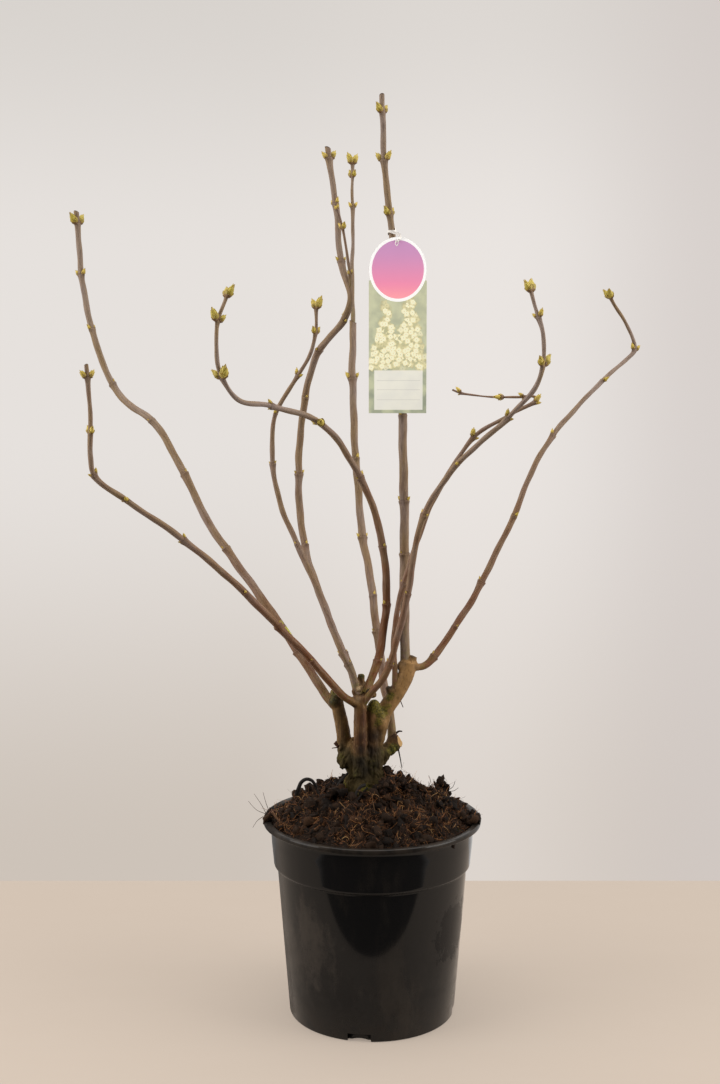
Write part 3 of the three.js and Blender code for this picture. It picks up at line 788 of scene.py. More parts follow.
def paint_cane(tree):
    place = tree.arrow("bark_place")
    streaks, flakes = straight_grain(tree, place)
    age = (tree.named("brown") + (tree.noise(place, 38, 3, 0.6) - 0.5) * 0.9).rise(0.0, 1.0)
    sides = tree.noise(place, 90, 2, stretch=0.16)
    pores = tree.cells(place * (1.0, 1.0, 0.5), 260)
    pore = (1 - pores.rise(0.08, 0.16)) * flakes.rise(0.46, 0.6)
    speckle = tree.noise(place, 420, 3, 0.6)
    colour = tree.coats(
        tree.mix(age, "#867464", "#683f24"),
        (sides.rise(0.46, 0.62) * (1 - age * 0.85) * 0.5, "#7d6335"),
        ((1 - sides.rise(0.36, 0.48)) * (1 - age) * 0.45, "#8a7c78"),
        (flakes.rise(0.5, 0.7) * 0.35, "#8f7b66"),
        (streaks.rise(0.47, 0.66) * 0.5, "#3c281b"),
        (pore * 0.5, "#a48e70"),
        (tree.named("green") * tree.noise(place, 170, 3).rise(0.38, 0.6), "#6f6d2c"),
        ((tree.named("lichen") + speckle - 0.75).rise(0.0, 0.25), "#a9a93c"),
        # Dark rings at the nodes: scars above, and painted shade below each node.
        (tree.named("ring") * 0.9, "#37231a"),
        ((tree.named("scar") + speckle - 0.85).rise(0.0, 0.5) * 0.75, "#2e1c12"),
        (tree.named("cut").rise(0.55, 0.9), "#4a3626"))
    return {"Base Color": colour, "Roughness": 0.52 - age * 0.14 + flakes * 0.2,
            "Normal": tree.bump(streaks * 0.5 + flakes * 0.35 + pore * 0.5, 0.0002)}


bark_of_canes = finish_of("bark_of_canes", paint_cane, Specular_IOR_Level=0.15)


# %% The rule that turns a middle line into a cane
def cane_rule():
    """Sweeps a circle along the line, then raises the cushions that carry the buds."""
    tree, given = rule("cane_along_line", Sides=14, Ridges=0.0002)
    line = tree.geo("MeshToCurve", Mesh=given["Geometry"])
    circle = tree.geo("CurvePrimitiveCircle", Resolution=given["Sides"], Radius=1.0)
    section = tree.geo("StoreNamedAttribute", Geometry=circle, Name="rim", Value=tree.place(),
                       data_type="FLOAT_VECTOR")
    girth = tree.named("girth")
    cane = tree.geo("CurveToMesh", Curve=line, Profile_Curve=section, Scale=girth, Fill_Caps=True)
    rim_x, rim_y, _ = tree.arrow("rim").parts()
    cane = tree.geo(
        "StoreNamedAttribute", Geometry=cane, Name="bark_place", data_type="FLOAT_VECTOR",
        Value=tree.join(rim_x * girth, rim_y * girth, tree.named("along")))
    normal = tree.geo("InputNormal")
    facing = abs(normal.measure("DOT_PRODUCT", tree.arrow("pair_axis")))
    ridges = tree.noise(tree.arrow("bark_place"), 420, 2, stretch=0.06) - 0.5
    raised = tree.named("cushion") * facing ** 2.6 + tree.named("swell")
    raised = raised + ridges * given["Ridges"] * 2
    slope = (tree.place() - tree.arrow("middle")).measure("DOT_PRODUCT", tree.arrow("slant"))
    shift = normal * raised + tree.arrow("heading") * slope
    cane = tree.geo("SetPosition", Geometry=cane, Offset=shift)
    return close_rule(tree, tree.geo("SetShadeSmooth", Geometry=cane, Shade_Smooth=True), given)


along_line = cane_rule()

# %% Lines that carry girth, cushions and rings
LINE_STEP, NODE_STEP = 2.6, 0.8
NODE_ABOVE, NODE_BELOW = 4, 11  # how far the closer steps reach about a node
CUSHION_BELOW, CUSHION_ABOVE = 5.0, 1.6  # how far it takes the cushion to fade about its buds
CUSHION_LEAST, CUSHION_BY_RADIUS, CUSHION_BY_BUD = 0.5, 0.33, 0.045  # how far it stands out
PAIR_ABOVE = 3.5  # up to here above a node, the cane still belongs to its pair of buds
# Where a ring lies above or below the node, how wide it is, and how dark: the scar of last
# year's scales above the node, and painted shade under the cushion below it.
RINGS = ((1.3, 0.9, 0.55), (-1.8, 2.2, 0.25))
SWELLS = ((11, 0.12), (4.1, 0.1))  # length and height of the unevenness of a cane's girth
# Marks on the bark, seen square from the front: centre, reach and strength.
LICHEN = [((-105, 0, 470), 6.5, 1.0), ((-97, 0, 461), 4, 0.7), ((-113, 0, 479), 4, 0.5)]
SCARS = [((-320, 0, 776), 4.5, 0.9), ((11, 0, 613), 3.5, 0.9), ((-21, 0, 850), 3, 0.7),
         ((21, 0, 676), 3, 0.4), ((-171, 0, 548), 3, 0.4)]


def stations_of(limb):
    """Distances along a limb, closer together where a node has more shape."""
    places = [np.arange(0, limb.length, LINE_STEP), [limb.length]]
    for at, _ in limb.nodes:
        places.append(np.arange(at - NODE_BELOW, min(at + NODE_ABOVE, limb.length), NODE_STEP))
    places = np.unique(np.clip(np.concatenate(places), 0, limb.length))
    apart = np.diff(places, prepend=-1) > 0.35
    apart[-1] = True
    return places[apart]


def node_marks(limb, places):
    """For each place: the way its buds face, how far the cushion stands out, and the rings: a scar
    above the node and painted shade below it.
    """
    axis = np.tile(limb.pairs[-1]["outward"], (len(places), 1))
    cushion, ring = np.zeros(len(places)), np.zeros(len(places))
    for pair in limb.pairs:
        below = pair["at"] - places
        axis[below > -PAIR_ABOVE] = pair["outward"]
        fade = np.where(
            below > 0, np.exp(-below / CUSHION_BELOW), np.clip(1 + below / CUSHION_ABOVE, 0, 1))
        stands_out = CUSHION_LEAST + CUSHION_BY_RADIUS * limb.radius(places)
        cushion = np.maximum(cushion, fade * (stands_out + CUSHION_BY_BUD * pair["bud"]))
        for shift, reach, strength in RINGS:
            ring = np.maximum(ring, np.exp(-((below + shift) / reach) ** 2) * strength)
    return axis, cushion, ring


def near(points, spots):
    """How strongly each point lies within some spots, from 0 to 1."""
    share = np.zeros(len(points))
    for centre, reach, strength in spots:
        away = np.linalg.norm(points - centre, axis=1) / reach
        share = np.maximum(share, strength * np.exp(-away ** 2))
    return share


def line_of(limb):
    places = stations_of(limb)
    points = limb.middle(places)
    axis, cushion, ring = node_marks(limb, places)
    swell = waves(places, SWELLS, (limb.drift[3], limb.drift[0]))
    foot_shade, tip_shade = limb.shade
    cut = np.zeros(len(places))
    cut[-1] = limb.nodes[-1][0] < limb.length
    line = mesh_object(
        limb.name + "_bark", points, edges=[(i, i + 1) for i in range(len(points) - 1)])
    carry(
        line, girth=limb.radius(places) * MM, along=places * MM, pair_axis=axis,
        cushion=cushion * MM, swell=swell * MM, ring=ring,
        brown=foot_shade + (tip_shade - foot_shade) * np.clip(places / limb.length * 1.5, 0, 1),
        green=np.exp(-places / 28) * 0.5, lichen=near(points * (1, 0, 1), LICHEN),
        scar=near(points * (1, 0, 1), SCARS), cut=cut, slant=limb.across * 0.6 * cut[:, None],
        heading=limb.along(places), middle=points * MM)
    return line


for name, limb in limbs.items():
    cane = grown(line_of(limb), along_line, Sides=16 if limb.girth[0] > 6 else 12, Ridges=0.00022,
                 Material=bark_of_canes)
    keep(cane, "shoot_bark" if name in TWIGS else "cane_bark", *limb.solids())

# %% [markdown]
# ## The stool
# The old foot of the plant is one lump of wood: trunk, arms, healed cuts and cane collars have
# grown into each other. Separate tubes would show seams, so rough tubes and lumps are first put
# together and remeshed with small voxels, which fuses them the way wood does. A node rule then
# raises ridges, knobs and cracks on the fused skin.

# %% Lumps, cuts and spurs of the stool
# Centre and radii of swellings: heads of arms, healed cuts, crotches filled with old bark.
SWELLINGS = [
    ((8, -5, 367), (10.5, 7.6, 17)), ((-5, -5, 360), (6, 6, 26)), ((-45, 2, 388), (9.5, 9.5, 9)),
    ((-41, 1, 397), (6, 6.5, 5.5)), ((-47.5, 2, 399), (4.6, 5, 5)),
    ((-15, -17, 397), (8.8, 8.4, 5)),
    ((-5, -14, 402), (7, 6.6, 7)), ((-19.5, -14, 404), (6, 6, 6)),
    ((-16.2, -21.5, 408.5), (3.8, 3, 3.2)), ((-13.2, -21, 411.5), (2.2, 2, 1.9)),
    ((-13.6, -12, 423), (4.6, 4.2, 3)), ((0.5, -13, 400), (5, 5, 4.4)),
    ((2.2, -5, 384), (7.8, 7.4, 8.6)), ((24, 0, 402), (7.4, 7, 5.6)),
    ((19.5, -2, 405.5), (3.6, 3.6, 3)), ((27, 0, 407), (3.4, 3.2, 2.6)),
    ((41, 4, 432), (11, 10.5, 8)), ((49, 4, 434), (7, 7, 8)), ((27, 18, 335), (9, 8.8, 8)),
    ((-33.5, -1, 318), (10.2, 10.5, 13)), ((-41, -4, 317), (3.4, 4, 5)),
    ((4, 2, 322), (11, 10, 11)),
    ((14, 8, 322), (9, 8.6, 8.6)), ((-36, -10, 311), (4.6, 5, 5)), ((8, -6, 294), (9, 8, 12)),
    ((-26, -7, 290), (8, 8.5, 12)),
]
# Short rods: points and radii. Old sawn stubs and the broken ends of dead shoots.
STUBS = [
    ([(-14, -12, 403), (-13.6, -12, 414), (-13.4, -12, 423)], [5.6, 4.4, 4.2]),
    ([(-47, 2, 396), (-48.5, 2, 402.5)], [4.6, 3.4]),
    ([(46, 4, 432), (49, 4, 439), (51, 4, 444.5)], [6.5, 5.2, 4.6]),
    ([(22, 14, 326), (30, 17, 333), (35.5, 18.5, 337)], [8.8, 8.4, 7.6]),
    ([(-37, -10, 312), (-39.6, -14, 309.5)], [3.4, 2.2]),
    ([(23, 0, 400), (18.5, -1, 407.5)], [4, 2.6]),
    ([(-23.4, -7, 344), (-25.4, -8, 345.6)], [2.6, 1.3]),
    ([(-38, -4, 330), (-42.4, -7, 334)], [3.2, 1.9]),
]
# How far out a root flare is at some heights, and its radius there.
ROOT_FLARE = [(11, 312, 5), (17, 296, 6.5), (22, 282, 8), (26, 272, 8.5)]
ROOT_FLARES = 6
STOOL_VOXEL, STOOL_SMOOTHINGS = 1.15, 7
HEAD_DEPTH = 0.6  # the trunk's head is flatter from front to back, so the arms stand clear of it
HEAD_RISE = [284, 314]  # between these heights the trunk flattens
TRUNK_SHOWN = 0.95  # of its girth, since the relief adds the rest
COLLAR_SHOWN = 24  # length of cane that is fused to the arms
THICK_COLLARS = {"left_low": 1.35, "left_tall": 1.2, "right_outer": 1.3, "centre_tall": 1.1}


def stool_rough():
    """Every rod and lump of the stool, still passing through each other."""
    shape = Shape()
    trunk = Route(*TRUNK)
    places = np.linspace(0, trunk.length, 24)
    wood, faces = tube(trunk.point(places), table_at(places, TRUNK_GIRTHS) * TRUNK_SHOWN, 28)
    wood[:, 1] *= np.interp(wood[:, 2], HEAD_RISE, [1, HEAD_DEPTH])
    shape.add((wood, faces))
    for k in range(ROOT_FLARES):
        out = compass(360 * (k + 0.35) / ROOT_FLARES)
        rise = [out * away + (-9, 0, height) for away, height, _ in ROOT_FLARE]
        shape.add(tube(rise, [radius for _, _, radius in ROOT_FLARE], 12))
    for name, table in ARMS.items():
        arm = Route(*table)
        places = np.linspace(0, CENTRE_SHOWN if name == "arm_centre" else arm.length, 30)
        shape.add(tube(arm.point(places), arm.radius(places), 24))
    for name in CANES:
        places = np.linspace(0, COLLAR_SHOWN, 12)
        flare = np.interp(places, [0, 12, COLLAR_SHOWN], [THICK_COLLARS.get(name, 0.86), 1, 0.7])
        shape.add(tube(limbs[name].middle(places), limbs[name].radius(places) * flare, 18))
    for centre, radii in SWELLINGS:
        shape.add(blob(centre, radii))
    for points, radii in STUBS:
        shape.add(tube(points, radii, 16))
    return shape.made("stool")


stool = fused(stool_rough(), STOOL_VOXEL, STOOL_SMOOTHINGS)


# %% Relief of the old wood
def relief_rule():
    """Ridges along the wood, knobs where it is gnarled, and cracks."""
    tree, given = rule("old_wood_relief", Ridges=0.0009, Knobs=0.003, Cracks=0.0007)
    place, gnarl = tree.place(), tree.named("gnarl")
    ridges = (tree.noise(place, 300, 3, 0.6, stretch=0.2) - 0.5) * (gnarl * 0.75 + 0.25)
    knobs = tree.noise(place, 125, 4, 0.62) - 0.5
    fine = tree.noise(place, 900, 2, stretch=0.3) - 0.5
    cracks = 1 - tree.cells(place * (1.0, 1.0, 0.28), 170, "DISTANCE_TO_EDGE").rise(0.0, 0.14)
    raised = ridges * given["Ridges"] * 2 + knobs * given["Knobs"] * gnarl * 2
    raised = raised + fine * given["Ridges"] * 0.6 - cracks * given["Cracks"] * gnarl
    shift = tree.geo("InputNormal") * (raised * (1 - tree.named("cut")))
    wood = tree.geo("SetPosition", Geometry=given["Geometry"], Offset=shift)
    # How sunk the relief is, kept for painted shade in its hollows.
    wood = tree.geo("StoreNamedAttribute", Geometry=wood, Name="hollow", data_type="FLOAT",
                    Value=0.5 - ridges - knobs * 0.6)
    return close_rule(tree, tree.geo("SetShadeSmooth", Geometry=wood, Shade_Smooth=True), given)


# %% What has happened to the wood
# Where it has happened: centre, reach and strength.
SPOTS = {
    "moss": [
        ((-6, -24, 282), 17, 0.62), ((-32, -6, 284), 12, 0.7), ((10, -20, 288), 12, 0.5),
        ((-38, -8, 322), 10, 0.5), ((-46, -2, 400), 8, 0.8), ((-13, -14, 424), 7, 0.7),
        ((2, -10, 386), 12, 1.0), ((12, -11, 378), 11, 1.0), ((8, -10, 366), 9, 0.75),
        ((22, -6, 396), 8, 0.8), ((19, -8, 384), 9, 0.6), ((26, 8, 326), 12, 0.7),
        ((16, -6, 330), 12, 0.5), ((-48, -7, 392), 10, 0.75), ((1, -16, 312), 16, 0.45),
        ((-20, -18, 305), 14, 0.45), ((-30, -8, 350), 12, 0.5), ((-20, 20, 290), 20, 0.8),
        ((20, 12, 300), 12, 0.6), ((-40, 12, 330), 12, 0.5), ((10, 10, 372), 12, 0.5)],
    # Smooth red-brown bark.
    "ruddy": [
        ((-9, -24, 345), 20, 1.0), ((-9, -24, 372), 18, 1.0), ((-12, -24, 398), 9, 0.7),
        ((-30, -16, 400), 12, 0.8), ((30, 12, 350), 13, 1.0), ((52, 0, 428), 9, 0.8),
        ((-12, -4, 284), 14, 0.5)],
    # Bark worn pale.
    "worn": [((46, -4, 428), 15, 1.0), ((38, -8, 406), 14, 0.9), ((28, -8, 386), 13, 0.8),
             ((14, -10, 370), 10, 0.7), ((-45, -6, 380), 9, 0.3)],
    # Patches that are painted nearly black.
    "soot": [
        ((-4, -18, 406), 6, 1.0), ((21, -4, 408), 7, 0.9), ((-41, -5, 398), 8, 0.75),
        ((-38, -8, 388), 7, 0.6), ((-45, -6, 391), 11, 0.85), ((-40, -7, 378), 9, 0.45),
        ((-35, -10, 352), 9, 0.35), ((-13, -16, 424), 5, 0.6), ((38, -4, 437), 6, 0.45),
        ((51, 2, 446), 4.5, 0.9), ((55, -3, 431), 4, 0.7), ((-23, -21, 389), 4, 0.8),
        ((2, -12, 348), 11, 0.85), ((0, -12, 330), 11, 0.9), ((-22, -16, 318), 9, 0.6),
        ((-10, -18, 308), 13, 0.85), ((-13, -27, 334), 10, 0.95), ((-13, -27, 349), 8, 0.7),
        ((-13, -27, 318), 13, 0.9), ((5, -14, 312), 10, 0.8), ((26, 10, 344), 6, 0.9),
        ((-2, -20, 396), 5, 0.6)],
    "pale": [
        ((-17, -25, 409), 4.2, 1.0), ((-17, -25, 396), 3.6, 0.5), ((-41.5, -8, 333), 2.6, 0.9)],
}
# The sawn face of pale wood: centre, the way it faces, reach, and how deep the saw went.
SAWN_AT, SAWN_FACING, SAWN_REACH, SAWN_DEPTH = (36.2, 17, 336.5), (0.9, -0.34, 0.26), 9.5, 1.4


def mark_stool(made):
    """Saws one stub off, and works out for each point of the wood what has happened to it."""
    points = points_of(made)
    out = np.array(SAWN_FACING) / np.linalg.norm(SAWN_FACING)
    depth = (points - SAWN_AT) @ out
    beside = np.linalg.norm(points - SAWN_AT - np.outer(depth, out), axis=1)
    over = (depth > -SAWN_DEPTH) & (beside < SAWN_REACH)
    points[over] -= np.outer(depth[over] + SAWN_DEPTH, out)
    move_points(made, points)
    height = points[:, 2]
    carry(made, cut=over * np.clip((SAWN_REACH - beside) / 1.5, 0, 1),
          # How low on the stool a point is: the wood is darker and rougher towards its foot.
          gnarl=np.clip(1.1 - (height - 302) / 52, 0.12, 1),
          damp=np.clip(1.35 - (height - 292) / 52, 0, 1),
          **{mark: near(points, spots) for mark, spots in SPOTS.items()})


mark_stool(stool)
print("marks on the wood:", {mark: len(spots) for mark, spots in SPOTS.items()})


# %% Bark of the stool
def paint_stool(tree):
    place = tree.place()
    mark = {name: tree.named(name) for name in (*SPOTS, "damp", "gnarl", "hollow", "cut")}
    streaks, flakes = straight_grain(tree, place)
    long_streaks = tree.noise(place, 260, 3, stretch=0.07)
    cloud = tree.noise(place, 55, 3, 0.6)
    freckles = tree.noise(place, 330, 3, 0.7, stretch=0.6)
    patch = tree.noise(place, 190, 4, 0.65)
    algae = (mark["moss"] * 1.2 + patch - 0.92).rise(0.0, 0.4)
    damp = mark["damp"] * (1 - mark["ruddy"] * 0.6)
    colour = tree.coats(
        tree.mix(cloud.rise(0.35, 0.65), "#69502c", "#7c5e38"),
        (mark["ruddy"] * (cloud + 0.45).rise(0.3, 0.9), "#51301d"),
        (long_streaks.rise(0.42, 0.62) * 0.6, "#38261a"),
        (flakes.rise(0.55, 0.7) * 0.25, "#7a664a"),
        (streaks.rise(0.5, 0.7) * 0.2, "#2c1d12"),
        (mark["worn"] * (cloud + 0.5).rise(0.3, 0.9), "#9c784c"),
        (freckles.rise(0.53, 0.66) * 0.55, "#4a3520"),
        ((1 - freckles.rise(0.3, 0.42)) * 0.4, "#ab8d62"),
        # Darker olive towards the foot of the stool.
        ((damp + cloud - 0.75).rise(0.0, 0.5) * 0.88, "#2d2711"),
        # Painted shade in the hollows of gnarled wood.
        (mark["hollow"].rise(0.6, 0.9) * 0.5 * mark["gnarl"], "#20170f"),
        (algae * 0.8, tree.mix(tree.noise(place, 420, 2).rise(0.4, 0.6), "#6b6322", "#363a12")),
        # The nearly black patches.
        (mark["soot"] * (patch + 0.6).rise(0.4, 1.0), "#0d0906"),
        (mark["pale"] * (patch + 0.5).rise(0.4, 0.9), "#a8906f"),
        (mark["cut"].rise(0.3, 0.8),
         tree.mix(tree.noise(place, 700, 2, stretch=0.4), "#93754a", "#ab8a5c")))
    return {"Base Color": colour, "Roughness": 0.46 + mark["damp"] * 0.3 + flakes * 0.2,
            "Normal": tree.bump(long_streaks * 0.5 + streaks * 0.3 + patch * algae, 0.0004)}


stool_bark = finish_of("stool_bark", paint_stool, Specular_IOR_Level=0.14)
grown(stool, relief_rule(), Ridges=0.001, Knobs=0.003, Cracks=0.0013, Material=stool_bark)
keep(stool, "trunk_bark", "trunk", *[name for name in ARMS if name.startswith("arm")])

# %% [markdown]
# ## Scattering on a surface
# Moss, crumbs of peat and fibres all lie on something in great numbers. One rule does them all:
# it strews points over a surface where a carried value allows it, and puts one of a few small
# shapes on each point, turned and sized by seeded chance. Each copy gets a tone of its own.


# %% The scattering rule
def instances(tree, given, points, **settings):
    """One of the given forms on each point."""
    forms = tree.geo("CollectionInfo", Collection=given["Forms"], Separate_Children=True,
                     Reset_Children=True)
    return tree.geo(
        "InstanceOnPoints", Points=points, Instance=forms, Pick_Instance=True, **settings)


def scatter_rule():
    tree, given = rule("strewn_on_surface", Forms="Collection", Density=10000.0, Smallest=0.001,
                       Largest=0.003, Tilt=0.4, Sink=0.0, Seed=1)

    def chance(kind, low, high, shift, output):
        others = [None] * {"FLOAT": 2, "INT": 4, "FLOAT_VECTOR": 0}[kind]
        return tree.add("FunctionNodeRandomValue", *others, low, high, data_type=kind,
                        output=output, Seed=given["Seed"].math("ADD", shift))

    def rotated(rotation, by):
        return tree.add("FunctionNodeRotateRotation", Rotation=rotation, rotation_space="LOCAL",
                        Rotate_By=tree.add("FunctionNodeEulerToRotation", by))

    strewn = tree.geo("DistributePointsOnFaces", Mesh=given["Geometry"], distribute_method="RANDOM",
                      Density=tree.named("strew") * given["Density"], Seed=given["Seed"])
    lowered = tree.geo(
        "SetPosition", Geometry=strewn, Offset=strewn.other("Normal") * (given["Sink"] * -1.0))
    leaning = chance("FLOAT_VECTOR", (-1.0, -1.0, 0.0), (1.0, 1.0, 0.0), 3.0, 0) * given["Tilt"]
    turning = tree.join(0.0, 0.0, chance("FLOAT", 0.0, 6.2832, 5.0, 1))
    share = chance("FLOAT", 0.0, 1.0, 7.0, 1) ** 1.7
    placed = instances(
        tree, given, lowered, Instance_Index=chance("INT", 0, 40, 11.0, 2),
        Rotation=rotated(rotated(strewn.other("Rotation"), turning), leaning),
        Scale=given["Smallest"] + (given["Largest"] - given["Smallest"]) * share)
    placed = tree.geo("StoreNamedAttribute", Geometry=placed, Name="luck", data_type="FLOAT",
                      domain="INSTANCE", Value=chance("FLOAT", 0.0, 1.0, 13.0, 1))
    return close_rule(tree, placed, given)


def forms_of(name, shapes):
    """A collection of small shapes that a rule picks from. It is thrown away after use."""
    collection = bpy.data.collections.new(name)
    scene.collection.children.link(collection)
    for order, shape in enumerate(shapes):
        form = shape.made(f"{name}_{order}")
        form.data.shade_smooth()
        scene.collection.objects.unlink(form)
        collection.objects.link(form)
    return collection


def throw_away(collection):
    for form in list(collection.objects):
        bpy.data.objects.remove(form)
    bpy.data.collections.remove(collection)


def strewn_on(surface, name, weights, **settings):
    """A new object: what the scattering rule puts on a surface, denser where weights are high."""
    made = shown(name, surface.data.copy())
    carry(made, strew=weights)
    return grown(made, strewing, **settings)


strewing = scatter_rule()

# %% [markdown]
# ## Moss
# Cushions of moss sit where water stays: round the foot, in the crotches and on the old stubs.
# A cushion is hundreds of shoots, each a few leafy points, so a shoot is a bunch of narrow
# three-sided spikes and the scattering rule plants them thickly where the moss value is high.

# %% Moss cushions on the stool
chance = np.random.default_rng(7)


def moss_shoot(spikes):
    """A unit high bunch of thin spikes."""
    shape = Shape()
    for k in range(spikes):
        turn = 2 * math.pi * k / spikes + chance.uniform(-0.4, 0.4)
        lean = chance.uniform(0.15, 0.75) if k else 0.05
        tip = np.array((math.cos(turn) * lean, math.sin(turn) * lean, chance.uniform(0.65, 1.0)))
        shape.add(tube([(0, 0, -0.1), tip * (0.45, 0.45, 0.55), tip], [0.1, 0.11, 0.02], 3),
                  tone=k / spikes)
    return shape


def paint_moss(tree):
    luck = tree.named("luck")
    colour = tree.coats(
        tree.mix(luck, "#20250c", "#484b18"), (tree.named("tone") * 0.4, "#565525"),
        (tree.noise(tree.place(), 260, 2).rise(0.45, 0.7) * 0.45, "#2c2214"))
    return {"Base Color": colour, "Roughness": 0.75 + luck * 0.2}


moss_green = finish_of("moss_green", paint_moss, Specular_IOR_Level=0.1)
shoots = forms_of("moss_shoot", [moss_shoot(5) for _ in range(4)])
moss_value, cut_value = (
    read(stool.data.attributes[mark].data, "value", 1) for mark in ("moss", "cut"))
keep(strewn_on(
    stool, "moss_on_stool", np.clip(moss_value * 1.5 - 0.55, 0, 1) * (1 - cut_value),
    Forms=shoots, Density=420000.0, Smallest=0.5, Largest=1.15, Tilt=0.55, Sink=0.0003, Seed=21,
    Material=moss_green), "trunk_bark")

# %% [markdown]
# ## Buds
# Lilac buds come in pairs, opposite each other, and every pair stands a quarter turn from the one
# below. A bud is a small core clasped by crossed pairs of scales: the lowest are short, brown and
# dry, the upper ones yellow-green with a brown tip. In spring they swell and gape. Three forms are
# built scale by scale, and a node rule plants one on each point with its own heading and size.

# %% Three bud forms, built from scales
BUD_OUTLINE = [(0, 0.1), (0.06, 0.15), (0.2, 0.205), (0.36, 0.225), (0.55, 0.19), (0.75, 0.12),
               (0.9, 0.055), (1.0, 0.015), (1.2, 0.01)]
# For each pair of scales from the base up: foot, tip, half width in radians, and how brown it is.
BUD_SCALES = [(0.0, 0.26, 1.6, 1.0), (0.02, 0.46, 1.5, 0.62), (0.07, 0.84, 1.5, 0.06),
              (0.14, 1.03, 1.45, 0.0)]
# How far the tips of each pair of scales gape.
BUD_GAPES = [(0, 0, 0, 0), (0.03, 0.03, 0.01, 0.0), (0.05, 0.08, 0.05, 0.02)]
SCALE_ROWS, SCALE_COLUMNS = 5, 4
SCALE_THICK = 0.022


def bud_scale(turn, foot, tip, half_width, lift, gape):
    """One pointed scale that clasps the bud and gapes towards its tip."""
    share = np.linspace(0, 1, SCALE_ROWS + 1)[:, None]
    across = np.linspace(-1, 1, SCALE_COLUMNS + 1)[None, :]
    height = foot + (tip - foot) * share
    angle = turn + across * (half_width * (1 - share ** 1.7) ** 0.6 + 0.05)
    keel = 0.02 * (1 - abs(across))
    radius = table_at(height, BUD_OUTLINE) + lift + keel + gape * share ** 2
    reaches = (np.maximum(radius - depth, 0.004) for depth in (0, SCALE_THICK))
    return shell(*(grid(reach * np.cos(angle), reach * np.sin(angle), height) for reach in reaches))


def bud_form(gapes):
    shape = Shape()
    heights = np.linspace(0, 0.96, 8)
    core = tube([(0, 0, height) for height in heights], table_at(heights, BUD_OUTLINE) * 0.95, 8)
    shape.add(core, brown=0.35, up=heights.max())
    for level, ((foot, tip, width, brown), gape) in enumerate(zip(BUD_SCALES, gapes)):
        for half in (0, 1):
            turn, lift = math.pi * half + math.pi / 2 * level, 0.012 * (len(BUD_SCALES) - level)
            scale = bud_scale(turn, foot, tip, width, lift, gape)
            shape.add(scale, brown=brown, up=(scale[0][:, 2] - foot) / (tip - foot))
    return shape


def paint_bud(tree):
    """Yellow-green scales, brown at the base of the bud and at each tip."""
    up, tone = tree.named("up"), tree.named("tone")
    blotch = tree.noise(tree.place(), 900, 3, 0.6)
    dry = (tree.named("brown") + (blotch - 0.5) * 0.3 - tone * 0.15).rise(0.25, 0.85)
    colour = tree.coats(
        tree.mix(tree.named("luck"), "#a8912c", "#c4aa4c"),
        ((blotch - 0.1 + tone * 0.3).rise(0.4, 0.75) * 0.4, "#8c8a2c"),
        ((1 - up.rise(0.1, 0.6)) * 0.6, "#94661f"),
        (up.rise(0.86, 1.0) * 0.6, "#8a5a2c"),
        ((1 - tone.rise(0.0, 0.06)) * 0.35, "#7b5c33"),
        (dry * 0.9, "#5b3a22"))
    return {"Base Color": colour, "Roughness": 0.42 + blotch * 0.3}


def budding_rule():
    """One bud on each point, turned so that its tip follows the heading."""
    tree, given = rule("buds_on_points", Forms="Collection")
    points = tree.geo("MeshToPoints", Mesh=given["Geometry"], Radius=0.001)
    upright = tree.add("FunctionNodeAlignRotationToVector", axis="Z", Vector=tree.arrow("heading"))
    turned = tree.add("FunctionNodeAlignRotationToVector", axis="X", pivot_axis="Z",
                      Rotation=upright, Vector=tree.arrow("outward"))
    placed = instances(tree, given, points, Instance_Index=tree.named("form", "INT"),
                       Rotation=turned, Scale=tree.named("size"))
    return close_rule(tree, tree.geo("SetShadeSmooth", Geometry=placed, Shade_Smooth=True), given)


# %% Plant a pair at every node
BUD_LEAN, BUD_TIP_LEAN = 36, 24  # degrees from the shoot
BUD_SUNK, BUD_TIP_SUNK, BUD_TIP_DROP = 0.55, 0.3, 0.12
NODE_SWELL = 1.24
BUD_FULLNESS = 1.18  # its scales reach further than the solid bud
SMALL_BUD_GAIN = 2.8  # by which the smallest buds are longer than the table says
OPENING, SWELLING = 9.5, 6.5  # lengths from which a bud gapes


def buds_of(limb):
    """Foot, heading, outward side, size, form and tone of every bud of a limb."""
    found = []
    for pair in limb.pairs:
        at, along, bud = pair["at"], pair["along"], pair["bud"]
        at_tip = at > limb.length - 0.01
        lean = math.radians(BUD_TIP_LEAN if at_tip else BUD_LEAN)
        sunk = limb.radius(at) * NODE_SWELL * (BUD_TIP_SUNK if at_tip else BUD_SUNK)
        point = limb.middle(np.array([at]))[0]
        for outward, size in zip((pair["outward"], -pair["outward"]), pair["sizes"]):
            shrink = 1 - 0.5 * max(0, -outward[2])
            length = BUD_FULLNESS * (bud + SMALL_BUD_GAIN * math.exp(-bud / 5)) * size * shrink
            foot = point + outward * sunk - along * (BUD_TIP_DROP * bud if at_tip else 0)
            form = 2 if length > OPENING else 1 if length > SWELLING else 0
            heading = along * math.cos(lean) + outward * math.sin(lean)
            found.append((foot, heading, outward, length, form, max(0, (length - 6) / 10)))
    return found


bud_forms = forms_of("bud_form", [bud_form(gapes) for gapes in BUD_GAPES])
planted = [bud for limb in limbs.values() for bud in buds_of(limb)]
feet, headings, outwards, sizes, form_numbers, tones = map(np.array, zip(*planted))
buds = mesh_object("buds", feet)
carry(buds, heading=headings, outward=outwards, size=sizes, form=form_numbers, tone=tones,
      luck=np.random.default_rng(3).random(len(sizes)))
grown(buds, budding_rule(), Forms=bud_forms, Material=finish_of("bud_scales", paint_bud))
throw_away(bud_forms)
keep(buds, "shoot_bark")

# %% [markdown]
# ## The growing medium
# The pot is filled with coarse peat: dark crumbs and clods in a mat of fibres, heaped up round the
# trunk. A height function gives the heap, and each crumb lies on it where the scattering rule
# drops it. Clods, crumbs, fibres, hairs and bark chips are layers of the same rule with other
# forms.

